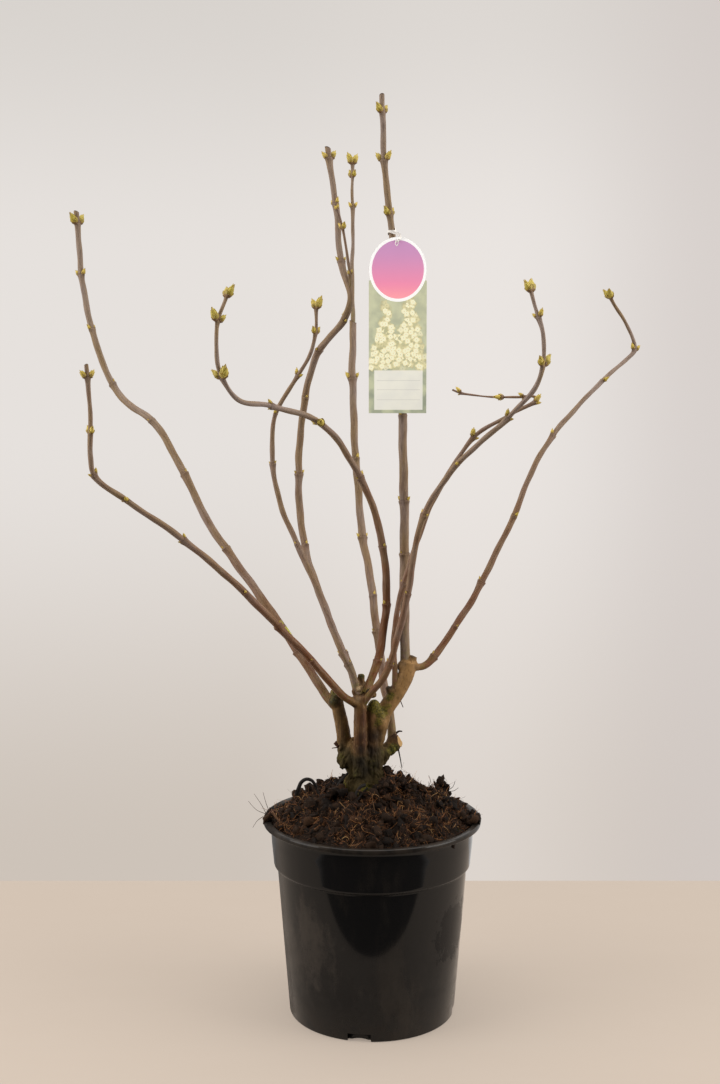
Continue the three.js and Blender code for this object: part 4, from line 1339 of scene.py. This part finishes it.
# %% The heap
POT_HEIGHT, POT_WALL = 244.6, 2
POT_FOOT = 102.7  # its radius
POT_SIDE = [(0, POT_FOOT), (181, 117.2)]  # height and radius of its straight taper
SOIL_DEPTH, SOIL_CLEAR = 150, 0.6  # the heap's mesh ends at this height, clear of the wall
SOIL_EDGE, SOIL_CROWN = 237, 276
MOUND = [(0, 1), (38, 1), (50, 0.95), (66, 0.82), (84, 0.64), (102, 0.42), (116, 0.2), (124, 0.04)]
# Extra heaps and hollows: x, y, reach, height.
HEAPS = [(36, 12, 22, 12), (14, 24, 16, 10), (88, 46, 12, 8), (-70, 20, 26, 4), (-118, -12, 12, 9),
         (118, 20, 14, 7), (92, 88, 24, -10), (60, -60, 30, -3), (-16, -34, 12, 5),
         (-45, 30, 20, 6)]
SOIL_RINGS, SOIL_SPOKES = 112, 264
SOIL_REACH = 122.2
EDGE_CALM = [(104, 1), (120, 0.35)]  # clumps are lower towards the rim
CLUMPS = [(21, 8.5), (9.0, 5.6), (3.8, 2.8)]  # size of the clumps and how high they stand
HEAP_SEED, CLUMP_SEED = 7.3, 2.1


def noise_at(places):
    return np.array([noise.noise(Vector(place)) for place in places])


def billows(points, seed):
    """Rounded clumps with creases between them, at several sizes."""
    return sum(height * (np.abs(noise_at(points / size + seed)) * 2 - 0.55)
               for size, height in CLUMPS)


def soil_height(x, y):
    away = np.hypot(x, y)
    height = SOIL_EDGE + (SOIL_CROWN - SOIL_EDGE) * table_at(away, MOUND)
    for heap_x, heap_y, reach, rise in HEAPS:
        height = height + rise * np.exp(-((x - heap_x) ** 2 + (y - heap_y) ** 2) / (2 * reach ** 2))
    return height + billows(grid(x, y, 0.0), HEAP_SEED) * table_at(away, EDGE_CALM)


def soil_surface():
    cosines, sines = circle(SOIL_SPOKES)
    rows = []
    for away in np.linspace(0, SOIL_REACH, SOIL_RINGS + 1):
        x, y = away * cosines, away * sines
        rows.append(grid(x, y, soil_height(x, y)))
    rows[0] = rows[0][:1]
    side = table_at(SOIL_DEPTH, POT_SIDE) - POT_WALL - SOIL_CLEAR
    rows.append(grid(side * cosines, side * sines, SOIL_DEPTH))
    rows.append([(0, 0, SOIL_DEPTH)])
    faces = []
    for k in range(SOIL_SPOKES):
        after = (k + 1) % SOIL_SPOKES
        faces.append([0, 1 + k, 1 + after])
        for ring in range(SOIL_RINGS):
            a, b = 1 + ring * SOIL_SPOKES, 1 + (ring + 1) * SOIL_SPOKES
            faces.append([a + k, b + k, b + after, a + after])
        last = 1 + SOIL_RINGS * SOIL_SPOKES
        faces.append([last + k, last + SOIL_SPOKES, last + after])
    return mesh_object("soil_heap", np.vstack(rows), faces)


def paint_soil(tree):
    place = tree.place()
    clumps, fine = tree.noise(place, 130, 5, 0.65), tree.noise(place, 700, 4, 0.7)
    colour = tree.coats(tree.mix(clumps.rise(0.35, 0.65), "#0e0a07", "#23170f"),
                        (fine.rise(0.5, 0.7) * 0.6, "#2f2116"))
    return {"Base Color": colour, "Roughness": 0.62 + fine * 0.35,
            "Normal": tree.bump(clumps * 0.6 + fine * 0.5, 0.003)}


peat = finish_of("peat", paint_soil, Specular_IOR_Level=0.1)
heap = dressed(soil_surface(), peat)
keep(heap, "growing_medium", "soil")


# %% Forms of clods, crumbs, fibres and chips
def clod(detail):
    """A rugged crumb of unit radius."""
    vertices, faces = blob((0, 0, 0), (1, 1, 0.8), detail)
    for push in unit(chance.normal(size=(7, 3))):
        facing = np.clip(vertices @ push - 0.3, 0, 1)
        vertices = vertices + np.outer(facing, push) * chance.uniform(-0.7, 0.9)
    swell = noise_at(vertices * 1.9 + chance.uniform(0, 9, 3))
    rough = chance.uniform(-0.1, 0.1, (len(vertices), 1))
    vertices = vertices * (1 + 0.55 * swell[:, None] + rough)
    return Shape().add((vertices, faces), tone=chance.random())


def fibre(bends, thin):
    """A curved hair of unit length that lies nearly flat."""
    heading, point, points = chance.uniform(-0.2, 0.2, 3) + (1, 0, 0.15), np.zeros(3), []
    for _ in range(bends):
        points.append(point.copy())
        heading = unit(heading + chance.normal(0, 0.33, 3) * (1, 1, 0.6))
        point = point + heading / bends
    return Shape().add(tube(points, np.linspace(thin, thin * 0.5, bends), 3), tone=chance.random())


def chip():
    """A flat splinter of bark, one unit long."""
    share = np.linspace(-0.5, 0.5, 5)[:, None]
    across = np.linspace(-1, 1, 3)[None, :]
    width = 0.16 * (1 - 1.6 * share ** 2) * chance.uniform(0.7, 1.2) + 0.02
    lift = 0.12 * share ** 2 - 0.05 * across ** 2 + chance.normal(0, 0.015, (5, 3))
    outer = grid(share, across * width + 0.05 * share, lift + 0.035)
    return Shape().add(shell(outer, outer - (0, 0, 0.07)), tone=chance.random())


def paint_crumbs(tree):
    luck, fine = tree.named("luck"), tree.noise(tree.place(), 900, 4, 0.7)
    colour = tree.coats(
        tree.mix(luck.rise(0.0, 0.75), "#0f0a07", "#251910"),
        (luck.rise(0.8, 1.0) * 0.6, "#3f2a1a"), (fine.rise(0.5, 0.72) * 0.4, "#3d291a"))
    return {"Base Color": colour, "Roughness": 0.55 + fine * 0.4, "Normal": tree.bump(fine, 0.0016)}


def paint_fibres(tree):
    luck = tree.named("luck")
    colour = tree.coats(tree.mix(luck.rise(0.0, 0.5), "#2a1b10", "#63412a"),
                        (luck.rise(0.5, 0.85), "#93643f"), (luck.rise(0.9, 1.0), "#c29a68"))
    return {"Base Color": colour, "Roughness": 0.6 + luck * 0.25}


def paint_chips(tree):
    luck, grain = tree.named("luck"), tree.noise(tree.place(), 800, 3)
    colour = tree.coats(tree.mix(luck.rise(0.0, 0.8), "#150e09", "#41291b"),
                        (luck.rise(0.86, 1.0), "#66452f"), (grain * 0.5, "#170e09"))
    return {"Base Color": colour, "Roughness": 0.7 + grain * 0.2}


layer_forms = {
    "clods": forms_of("clod", [clod(2) for _ in range(6)]),
    "crumbs": forms_of("crumb", [clod(1) for _ in range(6)]),
    "fibres": forms_of("fibre", [fibre(6, 0.019) for _ in range(8)]),
    "hairs": forms_of("hair", [fibre(10, 0.009) for _ in range(8)]),
    "chips": forms_of("chip", [chip() for _ in range(5)]),
}
crumb_finish, fibre_finish, chip_finish = (
    finish_of(name, paint, Specular_IOR_Level=0.1) for name, paint in (
        ("peat_crumbs", paint_crumbs), ("peat_fibres", paint_fibres), ("bark_chips", paint_chips)))

# %% Clumps that stand out of the heap
# Centre and radii: peat spilt on the rim, the black clump at the back, and clumps by the trunk.
SPILT = [
    ((-115, -22, 245), (10, 12, 6)), ((-122, -14, 248), (7, 8, 4.2)), ((-106, -44, 244), (9, 9, 5)),
    ((-126, -12, 250), (5, 6, 3)), ((-118, 4, 246), (8, 10, 4.6)),
    ((-128, -19, 247.4), (3.6, 4, 2.4)),
    ((119, -20, 244), (9, 11, 5)), ((126, -14, 247), (6, 7, 4)), ((120, -2, 245), (8, 9, 5)),
    ((89, 50, 267), (10, 7, 6)), ((80, 47, 261), (9, 8, 7)), ((96, 47, 262), (6, 5, 5)),
    ((9, -33, 287), (8, 7, 8)), ((16, -29, 293), (8, 7, 8)), ((24, -20, 297), (8, 8, 8)),
    ((2, -40, 281), (8, 6, 6)), ((-38, -24, 284), (8, 7, 6)), ((-46, -20, 280), (9, 8, 6)),
    ((17, -2, 297), (6, 6, 6)), ((35.6, 0, 289), (7.5, 6, 6)), ((54.8, 4, 281), (8, 7, 7)),
    ((47, 8, 284), (5, 5, 5)), ((26, -14, 288), (7, 6, 6)), ((-44, -12, 279), (8, 7, 6)),
]
CLUMP_VOXEL = 1.5
CLUMP_FINER, CLUMP_ROUGH = 1.4, 0.75  # against the heap's own relief

spilt = Shape()
for centre, radii in SPILT:
    spilt.add(blob(centre, radii, 2))
clumps = fused(spilt.made("clumps_of_peat"), CLUMP_VOXEL)
points = points_of(clumps)
raised = billows(points * CLUMP_FINER, CLUMP_SEED)[:, None] * CLUMP_ROUGH
move_points(clumps, points + read(clumps.data.vertices, "normal") * raised)
keep(dressed(clumps, peat), "growing_medium")

# %% Strew the heap and the clumps
heap_points = points_of(heap)
on_top = (heap_points[:, 2] > 200) & (np.hypot(*heap_points[:, :2].T) < SOIL_REACH - 2)
TANGLE = [((-16, -74, 262), 20, 1.0), ((40, -40, 270), 22, 0.6), ((70, -60, 255), 20, 0.5)]
MOSSY_PEAT = [((-46, 0, 280), 17, 1.0), ((-38, -92, 252), 12, 0.6), ((104, -58, 246), 10, 0.6),
              ((-20, -40, 276), 10, 0.5), ((128, -14, 250), 9, 0.7), ((-30, 40, 272), 20, 0.7)]
# Density, smallest, largest, tilt, sink, seed and finish.
LAYERS = {
    "clods": (17000, 1.8, 6.0, 0.9, 0.0008, 31, crumb_finish),
    "crumbs": (100000, 0.6, 2.0, 1.0, 0.0002, 32, crumb_finish),
    "fibres": (62000, 5.0, 17.0, 0.9, -0.0012, 33, fibre_finish),
    "hairs": (6000, 10.0, 24.0, 0.9, -0.0014, 35, fibre_finish),
    "chips": (24000, 2.4, 8.5, 0.9, -0.001, 34, chip_finish),
}


def strew(surface, weights, ending, share=1.0):
    places = points_of(surface)
    for name, (density, smallest, largest, tilt, sink, seed, finish) in LAYERS.items():
        tangled = 0
        if name == "fibres":
            tangled = near(places, TANGLE) + np.clip(noise_at(places / 17) * 2.6, -0.5, 0.6)
        keep(strewn_on(
            surface, name + ending, weights * (0.62 + 1.2 * tangled), Forms=layer_forms[name],
            Density=float(density) * share, Smallest=smallest, Largest=largest, Tilt=tilt,
            Sink=sink, Seed=seed, Material=finish), "growing_medium")


strew(heap, on_top.astype(float), "_of_peat")
strew(clumps, np.ones(len(points)), "_on_clumps", 0.8)
keep(strewn_on(
    heap, "moss_on_peat", np.clip(near(heap_points, MOSSY_PEAT) * 1.4 - 0.5, 0, 1) * on_top,
    Forms=shoots, Density=260000.0, Smallest=0.8, Largest=2.0, Tilt=0.5, Sink=0.0, Seed=36,
    Material=moss_green), "growing_medium")
for forms in (shoots, *layer_forms.values()):
    throw_away(forms)

# %% Roots, dead twigs and stray hairs
# Points, radii at both ends, and how pale each is.
STRAYS = [
    ([(-92, -38, 282), (-89, -40, 291), (-86, -40, 298), (-80, -40, 302), (-73, -39, 300),
      (-68, -37, 292)], 2.7, 1.9, 0.0),
    ([(-68, -37, 292), (-66, -38, 286), (-62, -40, 280)], 1.2, 0.8, 0.0),
    ([(-88, -40, 292), (-93, -41, 288), (-97, -40, 284)], 1.0, 0.5, 0.1),
    ([(-30, -14, 302.5), (-34, -18, 299.5), (-39, -25, 296), (-43, -30, 291)], 1.5, 1.0, 0.0),
    ([(-9, -33, 293), (-14, -37, 292), (-19, -40, 286), (-21, -44, 279)], 2.2, 1.3, 0.0),
    ([(-6, -34, 290), (-12, -38, 284), (-20, -46, 276)], 1.5, 1.0, 0.05),
    ([(32, 14, 329), (33.6, 13, 321), (35.4, 12, 312), (36.8, 10, 303)], 1.1, 0.45, 0.1),
    ([(33, 20, 391), (35.4, 20, 385), (38.6, 20, 377)], 0.8, 0.5, 0.3),
    ([(30, 15, 345.5), (33.5, 16, 347.6), (37.4, 17, 347.2)], 1.5, 0.8, 0.15),
    ([(-40.5, -6, 332), (-43.4, -8, 333), (-49.5, -9, 332.4)], 1.0, 0.5, 0.5),
    ([(-41, -6, 332.5), (-44.4, -8, 337.6)], 1.3, 2.4, 0.45),
    ([(-45.4, -8, 337), (-44, -8.4, 341)], 2.3, 0.8, 0.4),
    ([(4, -62, 262), (2, -63, 272), (0, -63, 282)], 0.5, 0.35, 0.75),
    ([(-12, -66, 266), (-8, -68, 272), (-2, -68, 274)], 0.5, 0.3, 0.75),
    ([(-22, -52, 276), (-14, -58, 272), (-8, -66, 264)], 0.5, 0.35, 0.6),
    ([(98, 48, 264), (103, 48, 268), (106, 49, 275)], 0.45, 0.25, 0.1),
    ([(96, 48, 262), (104, 47, 263), (110, 47, 267)], 0.4, 0.25, 0.1),
    ([(-130, -12, 250), (-136, -12, 262), (-145, -12, 276)], 0.4, 0.2, 0.3),
    ([(-126, -12, 252), (-131, -12, 266), (-134, -12, 278)], 0.4, 0.2, 0.3),
    ([(-134, -14, 248), (-141, -14, 243), (-147, -14, 234)], 0.4, 0.2, 0.3),
    ([(-131, -16, 252), (-142, -16, 257), (-152, -16, 268)], 0.35, 0.2, 0.3),
    ([(-120, -60, 268), (-116, -60, 262), (-110, -60, 254)], 1.5, 0.9, 0.7),
    ([(-126, -30, 256), (-120, -34, 262), (-113, -36, 258)], 1.2, 0.7, 0.5),
    ([(66, 0, 277), (72, 0, 288), (70, 0, 296)], 0.4, 0.2, 0.2),
    ([(74, 2, 274), (79, 2, 284), (75, 2, 291)], 0.4, 0.2, 0.2),
    ([(30, -88, 252), (36, -92, 248), (33, -96, 242), (36, -99, 238)], 0.8, 0.4, 0.95),
    ([(-36, -90, 256), (-22, -92, 250), (-14, -96, 243)], 0.7, 0.4, 0.6),
]


def paint_strays(tree):
    pale = tree.named("pale")
    grain = tree.noise(tree.place(), 700, 3, stretch=0.4)
    colour = tree.coats(tree.mix(pale.rise(0.0, 0.5), "#0e0a07", "#4d3020"),
                        (pale.rise(0.6, 1.0), "#a3805a"), (grain * 0.35, "#1b110a"))
    return {"Base Color": colour, "Roughness": 0.6 + grain * 0.2}


strays = Shape()
for points, thick, thin, pale in STRAYS:
    line = rounded(points)[::8] if len(points) > 2 else np.array(points, float)
    strays.add(tube(line, np.linspace(thick, thin, len(line)), 7), pale=pale)
root_brown = finish_of("root_brown", paint_strays, Specular_IOR_Level=0.2)
keep(dressed(strays.made("roots_and_twigs"), root_brown), "growing_medium")

# %% [markdown]
# ## The nursery pot
# An injection moulded pot is a turned shape: a straight taper, a wider band that lets pots stack,
# and a rolled lip. One outline is spun round the axis, and four drain notches are cut in its foot.
# The plastic is satin black. Dust and dried splashes dull it in upright smears.

# %% Turn the pot and cut its notches
POT_SPOKES = 192
FOOT_RING = 7.5  # width of the ring it stands on
DISH = 72
CHANNEL = 9
LIP = 134.4
LIP_UNDER = 238.6
NOTCHES, NOTCH_BEARING = 4, 261
NOTCH_HALF = (8, 14, 10)  # depth, width and height


def cut_away(made, cutter):
    """Takes the cutter's space out of an object, and the cutter out of the scene."""
    cut = made.modifiers.new("cut", "BOOLEAN")
    cut.operation, cut.solver, cut.object = "DIFFERENCE", "EXACT", cutter
    made_plain(made)
    bpy.data.objects.remove(cutter)
    return made


def pot_outline():
    """Radius and height, from the middle of the underside over the lip to the floor inside."""
    ring_inner = POT_FOOT - FOOT_RING
    foot = [(DISH, 0), (DISH + 3, CHANNEL), (ring_inner - 3, CHANNEL), (ring_inner, 0)]
    return [
        (0, 0), *foot, (100.6, 0), (102.1, 0.7), (102.8, 2.2), (109.8, 90), (117.2, 184.4),
        (117.8, 185.2), (118.6, 185.9), (120.4, 187.2), (121.3, 188.2), (121.7, 189.6),
        (121.8, 192),
        (124, 214), (124.5, 222), (124.9, 232), (125.8, 236.2), (127.2, LIP_UNDER - 0.8),
        (133, LIP_UNDER - 0.4), (134, LIP_UNDER + 0.5), (LIP, LIP_UNDER + 2), (LIP, POT_HEIGHT - 2),
        (134, POT_HEIGHT - 0.7), (133, POT_HEIGHT), (127.6, POT_HEIGHT), (126.2, POT_HEIGHT - 0.6),
        (125.2, POT_HEIGHT - 2), (123.6, 234), (122.5, 222), (122, 214), (119.6, 190.4),
        (115.2, 178), (100.7, 3), (99, POT_WALL),
        *[(radius, height + POT_WALL) for radius, height in reversed(foot)], (0, POT_WALL)]


def turned(name, outline, spokes):
    """A closed body from an outline of (radius, height) that starts and ends on the axis."""
    cosines, sines = circle(spokes)
    rings = [grid(r * cosines, r * sines, z) for r, z in outline[1:-1]]
    return mesh_object(name, *capped(rings, [(0, 0, outline[0][1]), (0, 0, outline[-1][1])]))


def notch_cutter():
    depth, width, height = NOTCH_HALF
    shape = Shape()
    for k in range(NOTCHES):
        out = compass(NOTCH_BEARING + 360 / NOTCHES * k)
        side = np.array((-out[1], out[0], 0))
        corners = [
            out * (POT_FOOT + a * depth) + side * b * width + (0, 0, z) for z in (-height, height)
            for a, b in ((-1, -1), (1, -1), (1, 1), (-1, 1))]
        walls = [(j, (j + 1) % 4, 4 + (j + 1) % 4, 4 + j) for j in range(4)]
        shape.add((corners, [(3, 2, 1, 0), (4, 5, 6, 7), *walls]))
    return shape.made("notch_cutter")


pot = cut_away(turned("nursery_pot", pot_outline(), POT_SPOKES), notch_cutter())
print("pot:", len(pot.data.polygons), "faces after", NOTCHES, "notches")


# %% Satin black plastic
def paint_pot(tree):
    place = tree.place()
    x, _, z = place.parts()
    smears = tree.noise(place, 26, 5, 0.62, stretch=0.35)
    runs = tree.noise(place, 150, 3, 0.6, stretch=0.14)
    mottle = tree.noise(place, 48, 6, 0.7)
    scuffs = tree.noise(place, 330, 3, 0.7, stretch=0.5)
    dust = smears.rise(0.5, 0.68) * 0.5 + runs.rise(0.56, 0.8) * 0.2 + scuffs.rise(0.62, 0.8) * 0.2
    low = 1 - z.rise(0.0, 0.17)
    # A hand's breadth up: a small dried stain on the right, and a broad paler patch on the left.
    blotches = tree.noise(place, 105, 5, 0.75, stretch=0.7)
    right, left = (1 - (place - centre).measure("LENGTH").rise(0.0, reach) for centre, reach in (
        ((0.1, -0.055, 0.12), 0.075), ((-0.088, -0.07, 0.1), 0.13)))
    stain = (right * 0.55 + blotches - 0.76).rise(0.0, 0.05) * (1 - z.rise(0.15, 0.17))
    pale_left_patch = (left * 0.5 + blotches * 0.5 + smears - 0.98).rise(0.0, 0.3)
    specks = 1 - tree.cells(place, 260).rise(0.03, 0.06)
    step, lip = z.band(0.1842, 0.1886, 0.0004), z.rise(0.2355, 0.2375)
    # Set for the view from the front, and not wear: a duller left edge and a glossier right side.
    flank = 1 - (x + z * 0.075).rise(-0.104, -0.088)
    polished = x.rise(0.01, 0.07)
    colour = tree.coats(
        tree.mix(dust * (0.35 + low * 0.5), "#0f0e0e", "#352f29"),
        ((1 - z.rise(0.0, 0.05)) * mottle.rise(0.3, 0.6) * 0.3, "#37302a"),
        (stain * 0.7, "#0a090a"),
        # The broad paler patch on the left.
        (pale_left_patch * 0.5, "#3a342f"),
        (specks * (right + mottle - 0.75).rise(0.0, 0.3) * 0.45, "#8f8a80"),
        (lip * mottle.rise(0.3, 0.6) * 0.35, "#41382f"))
    return {
        "Base Color": colour,
        "Roughness": (0.11 + low * mottle.rise(0.44, 0.62) * 0.09 + dust * 0.2 + stain * 0.2
                      + lip * 0.2 + flank * 0.35),
        "Coat Weight": (0.31 - low * mottle.rise(0.46, 0.56) * 0.07 - dust * 0.08 - stain * 0.17
                        - step * 0.1 - lip * 0.14 - flank * 0.2 + polished * 0.07),
        "Normal": tree.bump(mottle + scuffs * 0.2, 0.00006),
    }


pot_black = finish_of("pot_black", paint_pot, IOR=1.16, Coat_Roughness=0.075, Coat_IOR=1.6)
keep(dressed(pot, pot_black, 32), "pot_plastic", "pot")

# %% [markdown]
# ## The hang tag and its tie
# The tag is one die-cut card, an upright panel whose oval head stands over it. Its print here is a
# plain study of the plant: a pink oval with a white rim, two upright sprays of pale yellow florets
# on soft green, and an empty ruled panel. The florets are cells of a Voronoi pattern, each painted
# as four petals about its own centre. The tie is a paper strip, wound round the cane and tucked
# through the slot.

# %% Cut the card
TAG_X, TAG_Z = 30, 911.5  # the middle of the oval
TAG_FRONT = -4.0
TAG_THICK = 0.6
HEAD_HALF_WIDTH, HEAD_HALF_HEIGHT = 34.3, 38
PANEL_HALF = 34.5
PANEL_DROP, SHOULDER = 170, 13
CURL, LEAN = 1.6, 1.3  # how far its long edges curl back, and how far its foot hangs forward
SLOT_X, SLOT_Z = TAG_X - 1.4, TAG_Z + 31.5
SLOT_HALF_WIDTH, SLOT_HALF_HEIGHT = 1.7, 3.5


def card():
    """The card as a thin shell that curls back a little at its long edges."""
    neck = math.asin(-(SHOULDER - 0.4) / HEAD_HALF_HEIGHT)
    head = HEAD_HALF_HEIGHT * np.sin(np.linspace(neck, math.pi / 2, 40))
    up = np.concatenate([np.linspace(-PANEL_DROP, -SHOULDER, 44), head])[:, None]
    oval = HEAD_HALF_WIDTH * np.sqrt(np.clip(1 - (up / HEAD_HALF_HEIGHT) ** 2, 0, 1))
    half = np.where(up <= -SHOULDER, PANEL_HALF, oval)
    across = np.linspace(-1, 1, 33)[None, :] * np.maximum(half, 0.4)
    curl = CURL * (across / PANEL_HALF) ** 2 - LEAN * np.clip(-up / PANEL_DROP, 0, 1) ** 2
    front = grid(TAG_X + across, TAG_FRONT + curl, TAG_Z + up)
    body = shell(front, front + (0, TAG_THICK, 0))
    return Shape().add(body, printed=np.repeat([1.0, 0.0], front.size // 3)).made("tag_card")


def slot_cutter():
    cosines, sines = circle(24)
    x, z = SLOT_X + SLOT_HALF_WIDTH * cosines, SLOT_Z + SLOT_HALF_HEIGHT * sines
    rings = [grid(x, TAG_FRONT + y, z) for y in (-3, 4)]
    faces = [[k, (k + 1) % 24, 24 + (k + 1) % 24, 24 + k] for k in range(24)]
    return mesh_object(
        "slot_cutter", np.vstack(rings), [*faces, list(reversed(range(24))), list(range(24, 48))])


tag = cut_away(card(), slot_cutter())
print("card:", len(tag.data.polygons), "faces")

# %% Print the card
# Sprays of the print: across, foot, half width and height, in millimetres from the oval's middle.
SPRAYS = [(-14, -117, 20, 78), (15, -117, 19, 104)]
# Florets behind and in front: size, where they lie in the pattern, lit and shaded colour.
PRINTED_FLORETS = [(5.6, 40.0, "#e0dab0", "#bcb488"), (5.2, 0.0, "#fbf7d8", "#ded6a2")]
RULED_LINES = (-131, -142, -154)


def florets(tree, across, up, size, shift):
    """Four-petalled florets inside the sprays: where, how shaded, their hearts, and the sprays."""
    flat = tree.join(across, up, shift)
    centre = tree.cells(flat, 0.7 / size, "F1", "Position")
    away = (flat - centre) * (1.0, 1.0, 0.0)
    dx, dy, _ = away.parts()
    cx, cy, _ = centre.parts()
    petals = (dy.math("ARCTAN2", dx) * 4.0 + cx * 5.0).math("COSINE") * 0.5 + 0.5
    far = away.measure("LENGTH")
    floret = 1 - (far / (petals * 0.42 * size + 0.58 * size)).rise(0.88, 1.0)
    inside = None
    for middle, foot, half, height in SPRAYS:
        rise = (cy - foot) * (1 / height)
        aside = (abs(cx - middle) / (half * (1.08 - rise))).rise(0.9, 1.0)
        within = (1 - aside) * rise.band(0.0, 1.0, 0.02)
        inside = inside.math("MAXIMUM", within) if inside else within
    return floret * inside, (far / size).rise(0.2, 1.0), 1 - far.rise(0.5, 0.9), inside


def paint_card(tree):
    x, _, z = tree.place().parts()
    across, up = (x - TAG_X * MM) * (1 / MM), (z - TAG_Z * MM) * (1 / MM)
    meadow = tree.noise(tree.join(across, up, 0.0), 0.055, 3)
    colour = tree.coats(tree.mix(meadow.rise(0.35, 0.65), "#c3c7a8", "#99a08c"),
                        (up.rise(-150, -30) * 0.5, "#d3d4b2"))
    for size, shift, light, dark in PRINTED_FLORETS:
        flower, shade, heart, inside = florets(tree, across, up, size, shift)
        petal = tree.coats(tree.mix(shade, light, dark), (heart * 0.5, "#a89a4e"))
        colour = tree.coats(colour, (inside * 0.35, "#c3bd8c"), (flower, petal))
    panel = across.band(-28, 30) * up.band(-166, -119)
    colour = tree.mix(panel * 0.82, colour, "#f4f2ea")
    for line in RULED_LINES:
        ruled = up.band(line - 0.18, line + 0.18, 0.1) * across.band(-25, 27)
        colour = tree.mix(ruled * panel * 0.6, colour, "#a3a39a")
    wide, high = across * (1 / HEAD_HALF_WIDTH), up * (1 / HEAD_HALF_HEIGHT)
    oval = (wide ** 2.0 + high ** 2.0) ** 0.5
    pink = tree.mix(up.rise(-36, -14), "#ffa3ae", tree.mix(up.rise(-34, 30), "#f790b0", "#cb94c2"))
    head = tree.mix(oval.rise(0.895, 0.91), pink, "#ffffff")
    front = tree.mix(1 - oval.rise(0.995, 1.0), colour, head)
    back = tree.mix(meadow * 0.2, "#eceae2", "#dcd9ce")
    printed = tree.mix(tree.named("printed").rise(0.5, 0.9), back, front)
    # The print colour is also given as a faint glow: painted light, as the card is no lamp.
    return {"Base Color": printed, "Emission Color": printed,
            "Roughness": 0.35 + tree.noise(tree.place(), 900, 2) * 0.12}


# The card glows faintly with its own print: painted light that brightens it.
printed_card = finish_of("printed_card", paint_card, Emission_Strength=0.14)
keep(dressed(tag, printed_card, 40), "tag_card", "hang_tag")

# %% Wind the tie
TIE_HEIGHT = 956.6
TIE_WIDTH, TIE_THICK = 2.85, 0.35
TIE_CLEAR = 0.75  # between the cane's middle skin and the first turn
TIE_STEPS = 64  # samples of the wound part
TIE_TURNED = (-0.6, 3.1 * math.pi)  # where the wound part starts and ends, in radians
TIE_CLIMB = (2.4, -2.6)  # along the cane
TIE_GROWS = 0.55  # each turn lies on the last
LOOSE_WIDTHS = [(0, 3.4), (0.5, 3.2), (0.8, 2.2), (1, 1.8)]  # it narrows to pass the slot
# The loose end: the first four points from the cane, the last four from the slot.
FROM_CANE = [(-1.5, -0.6, -0.5), (3.5, -1.2, -2.2), (8.5, -2.2, -4.2), (9.4, -2.8, -7.6)]
FROM_SLOT = [(3.4, -1.4, 3.6), (0.3, -0.9, 1.4), (0, 0.3, 0), (-0.2, 1.6, -1.2)]


def strip(points, sideways, widths):
    """A closed flat strip along some points. Sideways gives the way its width runs."""
    points, sideways = np.asarray(points, float), unit(np.asarray(sideways, float))
    headings = unit(np.gradient(points, axis=0))
    wide = unit(sideways - headings * np.sum(sideways * headings, axis=1, keepdims=True))
    thick = np.cross(headings, wide) * TIE_THICK / 2
    wide = wide * np.asarray(widths)[:, None] / 2
    return shell(*(np.stack([points - wide + lift, points + lift, points + wide + lift], axis=1)
                   for lift in (thick, -thick)))


def tie_shape():
    cane = limbs["tag_cane"]
    places = np.linspace(0, cane.length, 2000)
    at = places[np.argmin(abs(cane.point(places)[:, 2] - TIE_HEIGHT))]
    middle, along = cane.middle(np.array([at]))[0], cane.along(at)
    radius = cane.radius(at) + TIE_CLEAR
    east = unit(np.cross(along, (0, -1.0, 0)))
    north = np.cross(along, east)
    turns = np.linspace(*TIE_TURNED, TIE_STEPS)[:, None]
    climb = np.linspace(*TIE_CLIMB, TIE_STEPS)[:, None]
    grow = radius + np.linspace(0, TIE_GROWS, TIE_STEPS)[:, None]
    wound = middle + grow * (np.cos(turns) * east + np.sin(turns) * north) + climb * along
    skin, slot = middle - (0, radius, 0), np.array((SLOT_X, TAG_FRONT, SLOT_Z))
    loose = rounded([skin + step for step in FROM_CANE] + [slot + step for step in FROM_SLOT])
    share = np.linspace(0, 1, len(loose))
    sides = share[:, None] * ((1, -0.1, 0.2) - along) + along
    shape = Shape()
    shape.add(strip(wound, np.tile(along, (TIE_STEPS, 1)), np.full(TIE_STEPS, TIE_WIDTH)))
    return shape.add(strip(loose, sides, table_at(share, LOOSE_WIDTHS))).made("tag_strip")


def paint_paper(tree):
    fluff = tree.noise(tree.place(), 1500, 3)
    return {"Base Color": tree.mix(fluff, "#f1eeea", "#d9d3cc"), "Roughness": 0.7 + fluff * 0.2,
            "Normal": tree.bump(fluff, 0.0002)}


keep(dressed(tie_shape(), finish_of("tie_paper", paint_paper), 50), "tag_ribbon", "tag_tie")
